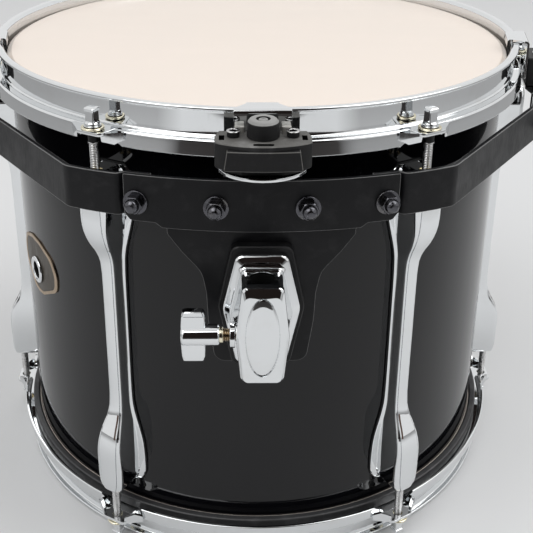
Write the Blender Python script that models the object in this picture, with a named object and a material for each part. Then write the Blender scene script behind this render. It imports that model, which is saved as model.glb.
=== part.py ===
"""Tom-tom, 14 by 12 inches: six full-length lugs, triple-flanged hoops and a hoop-hung holder mount.

The drum stands on its resonant hoop with +Z up and the holder bracket towards -Y.
Every piece is drawn in the drum's own frame, whose Z axis is the drum's axis, and an
empty then moves them all so that the origin lies under the middle of the whole object.
A piece at another azimuth is drawn at the front, at -Y, and turned about the drum's axis.
"""
import math

import bmesh
import bpy
from mathutils import Matrix, Vector

MM = 0.001
INCH = 25.4 * MM

# Clearances between pieces
GAP = 0.3 * MM
THREAD_GAP = 0.35 * MM

# How far a cutter reaches on each side of the sheet it cuts
CUTTER_REACH = 12.0 * MM

# Facets of the round pieces
ROUND_STEPS = 48
SMALL_STEPS = 8

# Shell
SHELL_RADIUS = 178.0 * MM
SHELL_DEPTH = 12.0 * INCH
SHELL_WALL = 7.0 * MM
BEARING_EDGE_CUT = 4.5 * MM
BEARING_ROUNDOVER = 1.5 * MM
BEARING_CREST_INSET = 2.4 * MM

# Hoops
HOOP_ABOVE_EDGE = 8.6 * MM
HOOP_CLEARANCE = 2.6 * MM
HOOP_SHEET = 2.3 * MM
HOOP_RIM_FLARE = 3.6 * MM
HOOP_WALL_HEIGHT = 18.0 * MM
HOOP_FLANGE_WIDTH = 7.8 * MM
HOOP_HEIGHT = 27.9 * MM
EAR_REACH = 9.4 * MM
EAR_HALF_WIDTH = 10.5 * MM
EAR_NOTCH_TOP = 10.0 * MM
EAR_NOTCH_BOTTOM = 14.5 * MM

# Heads
FILM = 0.6 * MM
FLESH_HOOP_WIDTH = 5.2 * MM
FLESH_HOOP_HEIGHT = 8.0 * MM

# Lugs, tension rods and swivel nuts
LUG_COUNT = 6
LUG_AZIMUTHS = [30.0 + 60.0 * number for number in range(LUG_COUNT)]
LUG_END_INSET = 44.0 * MM
LUG_END_HEIGHT = 23.5 * MM
LUG_BAR_HEIGHT = 12.3 * MM
LUG_END_HALF_WIDTH = 9.3 * MM
LUG_BAR_HALF_WIDTH = 4.7 * MM
LUG_FOOT_EXTRA = 5.3 * MM
LUG_BAR_FOOT_EXTRA = 1.6 * MM
LUG_FOOT_THICKNESS = 2.0 * MM
LUG_FACE_BEVEL = 1.2 * MM
LUG_END_LENGTH = 66.0 * MM
LUG_SCREW_INSETS = (6.5 * MM, 51.0 * MM)
LUG_SCREW_RADIUS = 2.2 * MM
LUG_SCREW_HEAD_RADIUS = 4.6 * MM
LUG_SCREW_HEAD = 2.6 * MM
LUG_SCREW_BITE = 7.0 * MM
ROD_TO_HOOP = 11.5 * MM
ROD_RADIUS = 2.7 * MM
ROD_LENGTH = 52.0 * MM
ROD_HEAD_SIDE = 6.3 * MM
ROD_HEAD_HEIGHT = 9.6 * MM
ROD_COLLAR_RADIUS = 4.8 * MM
ROD_COLLAR = 1.4 * MM
ROD_WASHER_RADIUS = 6.6 * MM
ROD_WASHER = 1.1 * MM
NUT_RADIUS = 4.3 * MM
NUT_INSET = 3.5 * MM

# Badge and air vent
BADGE_AZIMUTH = -60.0
BADGE_ABOVE_VENT = 3.0 * MM
BADGE_HALF_WIDTH = 32.4 * MM
BADGE_HALF_HEIGHT = 24.0 * MM
BADGE_SHEET = 0.9 * MM
VENT_HEIGHT = 169.5 * MM
VENT_RADIUS = 5.0 * MM
VENT_FLANGE_RADIUS = 10.2 * MM
VENT_WALL = 1.0 * MM
VENT_LIP = 1.3 * MM

# Suspension band
BAND_STANDOFF = 21.0 * MM
BAND_ARC_CENTRE = 81.0 * MM
BAND_SHEET = 3.0 * MM
BAND_DROP = 38.0 * MM
BAND_HEIGHT = 26.5 * MM
BAND_SEAM = 79.0 * MM
BAND_LAP = 16.0 * MM
BAND_BEND = 112.5 * MM
WING_ANGLE = 54.2
PLATE_HALF_WIDTH = 57.0 * MM
PLATE_DROP = 5.1 * MM
TONGUE_TOP_HALF_WIDTH = 56.0 * MM
TONGUE_HALF_WIDTH = 34.0 * MM
TONGUE_END_HALF_WIDTH = 28.0 * MM
TONGUE_LENGTH = 89.4 * MM
TONGUE_LAP = 8.0 * MM
BOLT_INNER_X = 26.0 * MM
BOLT_OUTER_X = 72.0 * MM
BOLT_DROP = 16.7 * MM
BOLT_RADIUS = 2.5 * MM
BOLT_HEAD_RADIUS = 4.6 * MM
BOLT_HEAD = 2.2 * MM
ACORN_RADIUS = 5.4 * MM
ACORN_HEX = 4.6 * MM
ACORN_HEIGHT = 8.6 * MM
BOLT_WASHER_RADIUS = 7.4 * MM
BOLT_WASHER = 1.2 * MM

# Front hoop grip and side hoop clips
HOOK_SHEET = 1.5 * MM
HOOK_LIP = 4.0 * MM
HOOK_HALF_WIDTH = 16.4 * MM
HOOK_TIP_HALF_WIDTH = 8.4 * MM
GRIP_DROP = 10.0 * MM
GRIP_HEIGHT = 15.0 * MM
GRIP_HALF_WIDTH = 26.5 * MM
GRIP_SIDE_DEPTH = 13.0 * MM
GRIP_DEPTH = 26.5 * MM
GRIP_PANEL_DEPTH = 20.6 * MM
GRIP_PANEL_DROP = 3.5 * MM
GRIP_SQUARE_X = 21.0 * MM
GRIP_SQUARE_HALF = 1.5 * MM
GRIP_SQUARE_DEPTH = 4.0 * MM
GRIP_SLOT_HALF_WIDTH = 5.2 * MM
GRIP_SLOT_WIDTH = 1.6 * MM
GRIP_SLOT_DEPTH = 1.5 * MM
GRIP_SLOT_INSET = 2.8 * MM
KNOB_RADIUS = 9.2 * MM
KNOB_HEIGHT = 8.4 * MM
KNOB_BOLT_RADIUS = 2.5 * MM
POST_X = 16.2 * MM
POST_RADIUS = 3.7 * MM
POST_HEIGHT = 3.2 * MM
ISOLATOR = 4.6 * MM
LOWER_PLATE_SHEET = 2.0 * MM
LOWER_PLATE_INSET = 4.5 * MM
LOWER_PLATE_HALF_WIDTH = 25.0 * MM
LEG_HALF_WIDTH = 31.0 * MM
LEG_HEIGHT = 30.0 * MM
LEG_NECK_HALF_WIDTH = 21.0 * MM
LEG_BELOW_BAND = 2.0 * MM
CLIP_AZIMUTH = 80.0
WING_END_AZIMUTH = 78.7
CLIP_HALF_WIDTH = 15.0 * MM
CLIP_DEPTH = 19.0 * MM
CLIP_LEG_LENGTH = 30.0 * MM

# Holder bracket
BRACKET_DROP = 11.4 * MM
BRACKET_SHOULDER_DROP = 35.0 * MM
BRACKET_LENGTH = 72.5 * MM
BRACKET_HALF_WIDTH = 22.8 * MM
BRACKET_TOP_HALF_WIDTH = 14.8 * MM
BRACKET_GASKET = 3.0 * MM
BRACKET_GASKET_LEDGE = 2.6 * MM
BASE_PLATE = 4.8 * MM
BASE_PLATE_BEVEL = 1.8 * MM
HOUSING_DEPTH = 23.0 * MM
HOUSING_DROP = 7.0 * MM
HOUSING_LENGTH = 60.0 * MM
HOUSING_HALF_WIDTH = 17.6 * MM
COVER_DROP = 4.0 * MM
COVER_LENGTH = 61.2 * MM
COVER_HALF_WIDTH = 14.2 * MM
COVER_TOP_HALF_WIDTH = 11.2 * MM
COVER_DEPTH = 7.4 * MM
COVER_EDGE = 2.0 * MM
OVAL_HALF_WIDTH = 10.0 * MM
OVAL_HALF_HEIGHT = 25.5 * MM
OVAL_GROOVE = 0.5 * MM
SOCKET_RADIUS = 6.9 * MM
SOCKET_BACK = 11.2 * MM
CLAMP_DROP = 43.8 * MM
CLAMP_BORE_RADIUS = 4.4 * MM
SHOE_RADIUS = 4.0 * MM
SHOE_LENGTH = 3.0 * MM
SHOE_TIP = 7.4 * MM
BOSS_RADIUS = 7.4 * MM
BOSS_LENGTH = 3.0 * MM
BOSS_PROUD = 0.8 * MM
BOLT_SHANK_RADIUS = 3.9 * MM
HUB_RADIUS = 6.2 * MM
HUB_GAP = 6.0 * MM
HUB_LENGTH = 8.0 * MM
HUB_EDGE = 1.2 * MM
WING_DEPTH = 14.0 * MM
WING_SPAN = 32.6 * MM
WING_THICKNESS = 6.4 * MM
BRACKET_SCREW_RADIUS = 2.6 * MM
BRACKET_SCREW_HEAD_RADIUS = 4.4 * MM
BRACKET_SCREW_HEAD = 2.4 * MM

# Values worked out from the sizes above
TOTAL_HEIGHT = SHELL_DEPTH + 2 * HOOP_ABOVE_EDGE
HOOP_INNER_RADIUS = SHELL_RADIUS + HOOP_CLEARANCE
HOOP_OUTER_RADIUS = HOOP_INNER_RADIUS + HOOP_SHEET
SKIRT_RADIUS = HOOP_OUTER_RADIUS + HOOP_FLANGE_WIDTH
FLANGE_BOTTOM = HOOP_WALL_HEIGHT + HOOP_SHEET
EAR_RADIUS = SKIRT_RADIUS + EAR_REACH
ROD_CIRCLE = HOOP_OUTER_RADIUS + ROD_TO_HOOP
LUG_BASE_RADIUS = SHELL_RADIUS + GAP
BADGE_HEIGHT = VENT_HEIGHT + BADGE_ABOVE_VENT
BAND_FRONT = SHELL_RADIUS + BAND_STANDOFF
BAND_ARC_RADIUS = BAND_FRONT + BAND_ARC_CENTRE
BAND_LAYER = BAND_SHEET + GAP
BAND_TOP = TOTAL_HEIGHT - BAND_DROP
BAND_BOTTOM = BAND_TOP - BAND_HEIGHT
BOLT_HEIGHT = BAND_TOP - BOLT_DROP
PLATE_BOTTOM = BAND_BOTTOM - PLATE_DROP
TONGUE_BOTTOM = PLATE_BOTTOM - TONGUE_LENGTH
TONGUE_FRONT = BAND_FRONT - BAND_LAYER
HOOK_BACK = SKIRT_RADIUS + 1.5 * GAP
HOOK_FRONT = HOOK_BACK + HOOK_SHEET
GRIP_TOP = TOTAL_HEIGHT - GRIP_DROP
GRIP_BOTTOM = GRIP_TOP - GRIP_HEIGHT
GRIP_BACK = HOOK_FRONT + GAP
GRIP_CORNER = GRIP_BACK + GRIP_SIDE_DEPTH
GRIP_FRONT = GRIP_BACK + GRIP_DEPTH
GRIP_PANEL = GRIP_BACK + GRIP_PANEL_DEPTH
KNOB_CENTRE = GRIP_BACK + GAP + KNOB_RADIUS
LOWER_PLATE_TOP = GRIP_BOTTOM - ISOLATOR - 2 * GAP
LOWER_PLATE_BOTTOM = LOWER_PLATE_TOP - LOWER_PLATE_SHEET
LOWER_PLATE_FRONT = GRIP_FRONT - LOWER_PLATE_INSET
BRACKET_TOP = PLATE_BOTTOM - BRACKET_DROP
BRACKET_BOTTOM = BRACKET_TOP - BRACKET_LENGTH
BRACKET_SHOULDER = BRACKET_TOP - BRACKET_SHOULDER_DROP
HOUSING_TOP = BRACKET_TOP - HOUSING_DROP
HOUSING_BOTTOM = HOUSING_TOP - HOUSING_LENGTH
COVER_TOP = BRACKET_TOP - COVER_DROP
COVER_BOTTOM = COVER_TOP - COVER_LENGTH
CLAMP_HEIGHT = BRACKET_TOP - CLAMP_DROP
BASE_BACK = BAND_FRONT + 2 * GAP + BRACKET_GASKET
BASE_FRONT = BASE_BACK + BASE_PLATE
HOUSING_BACK = BASE_FRONT + GAP
HOUSING_FRONT = HOUSING_BACK + HOUSING_DEPTH
COVER_BACK = HOUSING_FRONT + GAP
COVER_FRONT = COVER_BACK + COVER_DEPTH
SOCKET_DEPTH = HOUSING_BACK + SOCKET_BACK
BOSS_SEAT = COVER_HALF_WIDTH + BOSS_PROUD
AXIS_SHIFT = (COVER_FRONT - SKIRT_RADIUS) / 2

FINISHES = {
    "lacquer": ((0.012, 0.012, 0.014), 0.06, 0.0),
    "chrome": ((0.78, 0.79, 0.81), 0.08, 1.0),
    "film": ((0.86, 0.86, 0.84), 0.2, 0.0),
    "dark_ring": ((0.09, 0.09, 0.095), 0.4, 0.2),
    "band_paint": ((0.018, 0.018, 0.02), 0.45, 0.0),
    "plastic": ((0.03, 0.03, 0.032), 0.5, 0.0),
    "rubber": ((0.015, 0.015, 0.015), 0.8, 0.0),
    "steel": ((0.5, 0.5, 0.5), 0.3, 1.0),
    "brass": ((0.7, 0.56, 0.3), 0.3, 1.0),
    "dark_nickel": ((0.12, 0.12, 0.13), 0.25, 1.0),
    "bronze": ((0.28, 0.2, 0.11), 0.35, 0.8),
}


def new_mesh_object(name, bm, finish=None, parent=None):
    """Store a bmesh as an object, with its normals out and its round faces smooth."""
    bmesh.ops.recalc_face_normals(bm, faces=bm.faces)
    mesh = bpy.data.meshes.new(name)
    bm.to_mesh(mesh)
    bm.free()
    mesh.shade_smooth()
    mesh.set_sharp_from_angle(angle=math.radians(35))
    thing = bpy.data.objects.new(name, mesh)
    bpy.context.scene.collection.objects.link(thing)
    thing.parent = parent
    if finish:
        color, roughness, metallic = FINISHES[finish]
        material = bpy.data.materials.new(name)
        material.use_nodes = True
        shader = material.node_tree.nodes["Principled BSDF"]
        shader.inputs["Base Color"].default_value = (*color, 1.0)
        shader.inputs["Roughness"].default_value = roughness
        shader.inputs["Metallic"].default_value = metallic
        mesh.materials.append(material)
    return thing


def new_cutter(name, bm, parent):
    """Store a bmesh as a hidden guide that Boolean modifiers read."""
    cutter = new_mesh_object(name, bm, parent=parent)
    cutter.hide_render = True
    cutter.display_type = "WIRE"
    return cutter


def boolean(thing, tool, operation):
    modifier = thing.modifiers.new(f"{operation.lower()} {tool.name}", "BOOLEAN")
    modifier.operation = operation
    modifier.solver = "EXACT"
    modifier.object = tool


def at_azimuth(azimuth):
    """The turn that takes a piece from the front to an azimuth, in degrees about the drum's axis."""
    return Matrix.Rotation(math.radians(azimuth), 4, "Z")


def facing(place, direction):
    """A frame at a place whose local Z points along a direction."""
    turn = Vector(direction).to_track_quat("Z", "Y").to_matrix().to_4x4()
    return Matrix.Translation(place) @ turn


def lathe(bm, profile, steps, frame=Matrix()):
    """Spin a profile of (radius, height) points about the frame's Z; it may start and end on the axis."""
    known = set(bm.verts)
    verts = [bm.verts.new((radius, 0.0, height)) for radius, height in profile]
    pairs = list(zip(verts, verts[1:]))
    if profile[0][0] > 0 or profile[-1][0] > 0:
        pairs.append((verts[-1], verts[0]))
    edges = [bm.edges.new(pair) for pair in pairs]
    bmesh.ops.spin(bm, geom=verts + edges, cent=(0, 0, 0), axis=(0, 0, 1), angle=2 * math.pi, steps=steps)
    added = [vert for vert in bm.verts if vert not in known]
    bmesh.ops.remove_doubles(bm, verts=added, dist=0.01 * MM)
    added = [vert for vert in bm.verts if vert not in known]
    bmesh.ops.transform(bm, matrix=frame, verts=added)


def prism(bm, outline, low, high, frame=Matrix()):
    """Extrude an outline of (x, y) points from one height to another along the frame's Z."""
    face = bm.faces.new([bm.verts.new((x, y, low)) for x, y in outline])
    grown = bmesh.ops.extrude_face_region(bm, geom=[face])
    top = [item for item in grown["geom"] if isinstance(item, bmesh.types.BMVert)]
    bmesh.ops.translate(bm, verts=top, vec=(0, 0, high - low))
    bmesh.ops.transform(bm, matrix=frame, verts=list(face.verts) + top)


def loft(bm, rings):
    """Skin closed rings of equally many points, and cap both ends."""
    loops = [[bm.verts.new(point) for point in ring] for ring in rings]
    for low, high in zip(loops, loops[1:]):
        for number, vert in enumerate(low):
            follower = (number + 1) % len(low)
            bm.faces.new((vert, low[follower], high[follower], high[number]))
    bm.faces.new(loops[0])
    bm.faces.new(loops[-1])


def mirror_x(bm):
    bmesh.ops.transform(bm, matrix=Matrix.Scale(-1, 4, (1, 0, 0)), verts=bm.verts)


def washer_profile(inner, outer, low, high):
    return [(inner, low), (outer, low), (outer, high), (inner, high)]


def hole_profile(radius):
    """The profile of a cutter for a round hole through a thin sheet that lies at the frame's origin."""
    return [(0, -CUTTER_REACH), (radius, -CUTTER_REACH), (radius, CUTTER_REACH), (0, CUTTER_REACH)]


def both_sides(points):
    """Complete an outline drawn on +X by its mirror image, in order round the shape."""
    return points + [(-x, y) for x, y in reversed(points)]


def arc_points(start, end, bulge, count):
    """Points along a circular arc from start to end whose middle stands out by the bulge, to the right."""
    start, end = Vector(start), Vector(end)
    chord = end - start
    half = chord.length / 2
    radius = (half ** 2 + bulge ** 2) / (2 * bulge)
    out = Vector((chord.y, -chord.x)).normalized()
    centre = (start + end) / 2 + out * (bulge - radius)
    begin = math.atan2(start.y - centre.y, start.x - centre.x)
    sweep = 2 * math.asin(min(1.0, half / radius))
    angles = [begin + sweep * number / count for number in range(count + 1)]
    return [(centre.x + radius * math.cos(angle), centre.y + radius * math.sin(angle)) for angle in angles]


def shell(drum):
    """The lacquered wood tube with bearing edges, screw holes and the vent hole."""
    low = HOOP_ABOVE_EDGE
    high = low + SHELL_DEPTH
    inner = SHELL_RADIUS - SHELL_WALL
    crest = SHELL_RADIUS - BEARING_CREST_INSET
    roundover = BEARING_ROUNDOVER
    profile = [
        (inner, low + BEARING_EDGE_CUT), (crest, low), (SHELL_RADIUS, low + roundover),
        (SHELL_RADIUS, high - roundover), (crest, high), (inner, high - BEARING_EDGE_CUT),
    ]
    bm = bmesh.new()
    lathe(bm, profile, ROUND_STEPS)
    tube = new_mesh_object("shell", bm, "lacquer", drum)
    bm = bmesh.new()
    for azimuth in LUG_AZIMUTHS:
        for height in lug_screw_heights():
            radial_cylinder(bm, azimuth, height, LUG_SCREW_RADIUS + GAP, inner - MM, SHELL_RADIUS + MM)
    radial_cylinder(bm, BADGE_AZIMUTH, VENT_HEIGHT, VENT_RADIUS + GAP, inner - MM, SHELL_RADIUS + MM, 12)
    boolean(tube, new_cutter("shell_hole_cutter", bm, drum), "DIFFERENCE")


def radial_cylinder(bm, azimuth, height, radius, near, far, steps=6):
    """A cylinder along the radius at an azimuth and a height, between two distances from the axis."""
    frame = at_azimuth(azimuth) @ facing((0, 0, height), (0, -1, 0))
    lathe(bm, [(0, near), (radius, near), (radius, far), (0, far)], steps, frame)


def lug_screw_heights():
    insets = [LUG_END_INSET + inset for inset in LUG_SCREW_INSETS]
    return insets + [TOTAL_HEIGHT - inset for inset in insets]


def side_levels(batter):
    """How a depth below a hoop's rim becomes a height, on the batter or the resonant side."""
    if batter:
        return lambda depth: TOTAL_HEIGHT - depth
    return lambda depth: depth


def hoop(name, batter, drum):
    """A triple-flanged hoop: flared rim, wall, flange and skirt, with an ear at every rod."""
    level = side_levels(batter)
    rim = HOOP_OUTER_RADIUS + HOOP_RIM_FLARE
    flare = 1.6 * HOOP_SHEET
    section = [
        (HOOP_INNER_RADIUS, flare), (HOOP_INNER_RADIUS + HOOP_SHEET, 0), (rim, 0), (rim, HOOP_SHEET),
        (HOOP_OUTER_RADIUS, flare + 0.5 * HOOP_SHEET), (HOOP_OUTER_RADIUS, HOOP_WALL_HEIGHT),
        (SKIRT_RADIUS - 0.6 * HOOP_SHEET, HOOP_WALL_HEIGHT), (SKIRT_RADIUS, HOOP_WALL_HEIGHT + 0.6 * HOOP_SHEET),
        (SKIRT_RADIUS, HOOP_HEIGHT), (SKIRT_RADIUS - HOOP_SHEET, HOOP_HEIGHT),
        (SKIRT_RADIUS - HOOP_SHEET, FLANGE_BOTTOM), (HOOP_INNER_RADIUS, FLANGE_BOTTOM),
    ]
    bm = bmesh.new()
    lathe(bm, [(radius, level(depth)) for radius, depth in section], ROUND_STEPS)
    ring = new_mesh_object(name, bm, "chrome", drum)
    ears = bmesh.new()
    cuts = bmesh.new()
    skin = 0.2 * MM
    for azimuth in LUG_AZIMUTHS:
        turn = at_azimuth(azimuth)
        root = HOOP_OUTER_RADIUS + 2 * MM
        ear = [(EAR_HALF_WIDTH, -root), (EAR_HALF_WIDTH, 2 * MM - EAR_RADIUS), (EAR_HALF_WIDTH - 2 * MM, -EAR_RADIUS)]
        low, high = sorted((level(HOOP_WALL_HEIGHT + skin), level(FLANGE_BOTTOM - skin)))
        prism(ears, both_sides(ear), low, high, turn)
        top, bottom = level(FLANGE_BOTTOM + skin), level(HOOP_HEIGHT + MM)
        rings = []
        for height, half_width in ((top, EAR_NOTCH_TOP), (bottom, EAR_NOTCH_BOTTOM)):
            inside, outside = SKIRT_RADIUS - 2 * HOOP_SHEET, SKIRT_RADIUS + 2 * MM
            corners = [(half_width, -inside), (half_width, -outside), (-half_width, -outside), (-half_width, -inside)]
            rings.append([turn @ Vector((x, y, height)) for x, y in corners])
        loft(cuts, rings)
        frame = turn @ Matrix.Translation((0, -ROD_CIRCLE, 0))
        hole = ROD_RADIUS + 2 * GAP
        ends = [low - 0.5 * MM, high + 0.5 * MM]
        lathe(cuts, [(0, ends[0]), (hole, ends[0]), (hole, ends[1]), (0, ends[1])], SMALL_STEPS, frame)
    boolean(ring, new_cutter(f"{name}_ear_guide", ears, drum), "UNION")
    boolean(ring, new_cutter(f"{name}_notch_cutter", cuts, drum), "DIFFERENCE")


def head(name, batter, drum):
    """A clear film stretched over the bearing edge, with its collar."""
    level = side_levels(batter)
    film_top = HOOP_ABOVE_EDGE - GAP - FILM
    crest = SHELL_RADIUS - BEARING_CREST_INSET
    collar = SHELL_RADIUS + GAP
    shoulder = film_top + 0.8 * BEARING_ROUNDOVER
    hem = FLANGE_BOTTOM + GAP + FLESH_HOOP_HEIGHT
    section = [
        (0, film_top), (crest + 0.3 * FILM, film_top), (collar + FILM, shoulder), (collar + FILM, hem),
        (collar, hem), (collar, shoulder + FILM), (crest, film_top + FILM), (0, film_top + FILM),
    ]
    bm = bmesh.new()
    lathe(bm, [(radius, level(depth)) for radius, depth in section], ROUND_STEPS)
    new_mesh_object(name, bm, "film", drum)


def flesh_hoop(name, batter, drum):
    """The stiff ring that holds the film's edge and is pressed down by the hoop's flange."""
    level = side_levels(batter)
    inner = SHELL_RADIUS + 2 * GAP + FILM
    low, high = FLANGE_BOTTOM + GAP, FLANGE_BOTTOM + GAP + FLESH_HOOP_HEIGHT
    bm = bmesh.new()
    lathe(bm, washer_profile(inner, inner + FLESH_HOOP_WIDTH, level(low), level(high)), ROUND_STEPS)
    new_mesh_object(name, bm, "dark_ring", drum)


def lug_section(inset):
    """Foot half width, face half width and face height of the lug, at a distance from its end."""
    blend = min(1.0, inset / LUG_END_LENGTH)
    if blend < 0.12:
        nose = math.sqrt(1 - (1 - blend / 0.12) ** 2)
        width, height = 0.62 + 0.38 * nose, 0.95 + 0.05 * nose
        return (
            (LUG_END_HALF_WIDTH + LUG_FOOT_EXTRA) * width, LUG_END_HALF_WIDTH * width, LUG_END_HEIGHT * height)
    ease = max(0.0, (blend - 0.45) / 0.55)
    ease = ease * ease * (3 - 2 * ease)
    foot = LUG_END_HALF_WIDTH + LUG_FOOT_EXTRA
    bar_foot = LUG_BAR_HALF_WIDTH + LUG_BAR_FOOT_EXTRA
    return (
        foot + (bar_foot - foot) * ease,
        LUG_END_HALF_WIDTH + (LUG_BAR_HALF_WIDTH - LUG_END_HALF_WIDTH) * ease,
        LUG_END_HEIGHT + (LUG_BAR_HEIGHT - LUG_END_HEIGHT) * ease,
    )


def on_shell(x, radius):
    """The y of a point that lies a given radius from the drum's axis, at the front."""
    return -math.sqrt(radius ** 2 - x ** 2)


def lug(number, azimuth, drum):
    """A one-piece cast lug: broad raised ends with a pocket for the swivel nut, and a slim bar between."""
    insets = [share * LUG_END_LENGTH for share in (0, 0.045, 0.12, 0.45, 0.62, 0.75, 0.88, 1.0)]
    length = TOTAL_HEIGHT - 2 * LUG_END_INSET
    stations = [(LUG_END_INSET + inset, inset) for inset in insets]
    stations += [(LUG_END_INSET + length - inset, inset) for inset in reversed(insets)]
    rings = []
    for height, inset in stations:
        foot, face, rise = lug_section(inset)
        front = -(SHELL_RADIUS + rise)
        shoulder = face + 0.35 * (foot - face)
        half = [
            (foot, on_shell(foot, LUG_BASE_RADIUS)), (foot, on_shell(foot, LUG_BASE_RADIUS + LUG_FOOT_THICKNESS)),
            (shoulder, on_shell(shoulder, LUG_BASE_RADIUS + 2 * LUG_FOOT_THICKNESS)),
            (face, front + LUG_FACE_BEVEL), (face - LUG_FACE_BEVEL, front),
        ]
        ring = both_sides(half)
        ring.append((0, -LUG_BASE_RADIUS))
        rings.append([(x, y, height) for x, y in ring])
    bm = bmesh.new()
    loft(bm, rings)
    bmesh.ops.transform(bm, matrix=at_azimuth(azimuth), verts=bm.verts)
    casting = new_mesh_object(f"lug_{number}", bm, "chrome", drum)
    cuts = bmesh.new()
    axis = at_azimuth(azimuth) @ Matrix.Translation((0, -ROD_CIRCLE, 0))
    pocket, thread = NUT_RADIUS + GAP, ROD_RADIUS + THREAD_GAP
    nut_low = LUG_END_INSET + NUT_INSET
    deepest = rod_seat() + ROD_LENGTH + 2 * MM
    bore = [
        (0, LUG_END_INSET - MM), (pocket, LUG_END_INSET - MM), (pocket, nut_low), (thread, nut_low),
        (thread, deepest), (0, deepest),
    ]
    for batter in (True, False):
        level = side_levels(batter)
        lathe(cuts, [(radius, level(depth)) for radius, depth in bore], SMALL_STEPS, axis)
    boolean(casting, new_cutter(f"lug_{number}_pocket_cutter", cuts, drum), "DIFFERENCE")
    screws = bmesh.new()
    near = SHELL_RADIUS - SHELL_WALL - GAP
    far = LUG_BASE_RADIUS + LUG_SCREW_BITE
    screw = [
        (0, near - LUG_SCREW_HEAD), (LUG_SCREW_HEAD_RADIUS, near - LUG_SCREW_HEAD), (LUG_SCREW_HEAD_RADIUS, near),
        (LUG_SCREW_RADIUS, near), (LUG_SCREW_RADIUS, far), (0, far),
    ]
    for height in lug_screw_heights():
        lathe(screws, screw, 6, at_azimuth(azimuth) @ facing((0, 0, height), (0, -1, 0)))
    boolean(casting, new_cutter(f"lug_{number}_screw_guide", screws, drum), "UNION")


def rod_seat():
    """The depth below a hoop's rim at which a rod's washers rest on the ear."""
    return HOOP_WALL_HEIGHT - GAP


def tension_rod(name, azimuth, batter, drum):
    """A square-headed tension rod with its two washers, drawn about its own axis from the ear up."""
    half = ROD_HEAD_SIDE / 2
    crown = 0.7 * MM
    collar_low = 2 * ROD_WASHER
    head_low = collar_low + ROD_COLLAR
    bm = bmesh.new()
    profile = [
        (0, -ROD_LENGTH), (0.6 * ROD_RADIUS, -ROD_LENGTH), (ROD_RADIUS, -ROD_LENGTH + 1.5 * MM), (ROD_RADIUS, 0),
        (ROD_WASHER_RADIUS, 0), (ROD_WASHER_RADIUS, collar_low), (ROD_COLLAR_RADIUS, collar_low),
        (ROD_COLLAR_RADIUS, head_low), (0, head_low),
    ]
    lathe(bm, profile, SMALL_STEPS)
    rod = new_mesh_object(name, bm, "steel", drum)
    bm = bmesh.new()
    square = [(half, -half), (half, half), (-half, half), (-half, -half)]
    narrow = [(x * 0.86, y * 0.86) for x, y in square]
    rings = [(square, head_low - 0.5 * MM), (square, head_low + ROD_HEAD_HEIGHT - crown)]
    rings.append((narrow, head_low + ROD_HEAD_HEIGHT))
    loft(bm, [[(x, y, height) for x, y in outline] for outline, height in rings])
    guide = new_cutter(f"{name}_head_guide", bm, drum)
    turn = Matrix() if batter else Matrix.Rotation(math.pi, 4, "Y")
    seat = side_levels(batter)(rod_seat())
    place = at_azimuth(azimuth) @ Matrix.Translation((0, -ROD_CIRCLE, seat)) @ turn
    rod.matrix_local = place
    guide.matrix_local = place
    boolean(rod, guide, "UNION")


def badge(drum):
    """A plain shield-shaped badge bent to the shell, held by the flanged vent eyelet."""
    inner = SHELL_RADIUS + GAP
    half = [(0.25, -1.02), (1.02, -0.2), (0.98, 0.42), (0.5, 1.0)]
    corners = half + [(-x, z) for x, z in reversed(half)]
    outline = []
    for number, (x, z) in enumerate(corners):
        before, after = corners[number - 1], corners[(number + 1) % len(corners)]
        for neighbour in (before, after):
            share = 0.3
            outline.append((x + (neighbour[0] - x) * share, z + (neighbour[1] - z) * share))
    bm = bmesh.new()
    steps = 6
    rings = []
    for number in range(steps + 1):
        x = BADGE_HALF_WIDTH * (2 * number / steps - 1)
        ring = [(x, on_shell(x, radius), height) for radius, height in (
            (inner, -1.2 * BADGE_HALF_HEIGHT), (inner, 1.2 * BADGE_HALF_HEIGHT),
            (inner + BADGE_SHEET, 1.2 * BADGE_HALF_HEIGHT), (inner + BADGE_SHEET, -1.2 * BADGE_HALF_HEIGHT))]
        rings.append(ring)
    loft(bm, rings)
    place = at_azimuth(BADGE_AZIMUTH) @ Matrix.Translation((0, 0, BADGE_HEIGHT))
    bmesh.ops.transform(bm, matrix=place, verts=bm.verts)
    plate = new_mesh_object("badge", bm, "bronze", drum)
    bm = bmesh.new()
    wrap = facing((0, 0, 0), (0, -1, 0))
    flat = [(x * BADGE_HALF_WIDTH, z * BADGE_HALF_HEIGHT) for x, z in outline]
    prism(bm, flat, SHELL_RADIUS - 10 * MM, SHELL_RADIUS + 5 * MM, place @ wrap)
    boolean(plate, new_cutter("badge_outline_guide", bm, drum), "INTERSECT")
    bm = bmesh.new()
    radial_cylinder(bm, BADGE_AZIMUTH, VENT_HEIGHT, VENT_RADIUS + GAP, inner - 5 * MM, inner + 5 * MM, 12)
    boolean(plate, new_cutter("badge_vent_cutter", bm, drum), "DIFFERENCE")
    bm = bmesh.new()
    near = SHELL_RADIUS - SHELL_WALL - 3 * GAP
    seat = inner + BADGE_SHEET + GAP
    bore = VENT_RADIUS - VENT_WALL
    profile = [
        (bore, near - VENT_LIP), (VENT_FLANGE_RADIUS, near - VENT_LIP), (VENT_FLANGE_RADIUS, near),
        (VENT_RADIUS, near), (VENT_RADIUS, seat), (VENT_FLANGE_RADIUS, seat),
        (VENT_FLANGE_RADIUS - 1.5 * MM, seat + VENT_LIP), (bore, seat + VENT_LIP),
    ]
    frame = at_azimuth(BADGE_AZIMUTH) @ facing((0, 0, VENT_HEIGHT), (0, -1, 0))
    lathe(bm, profile, 12, frame)
    new_mesh_object("air_vent", bm, "chrome", drum)


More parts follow.
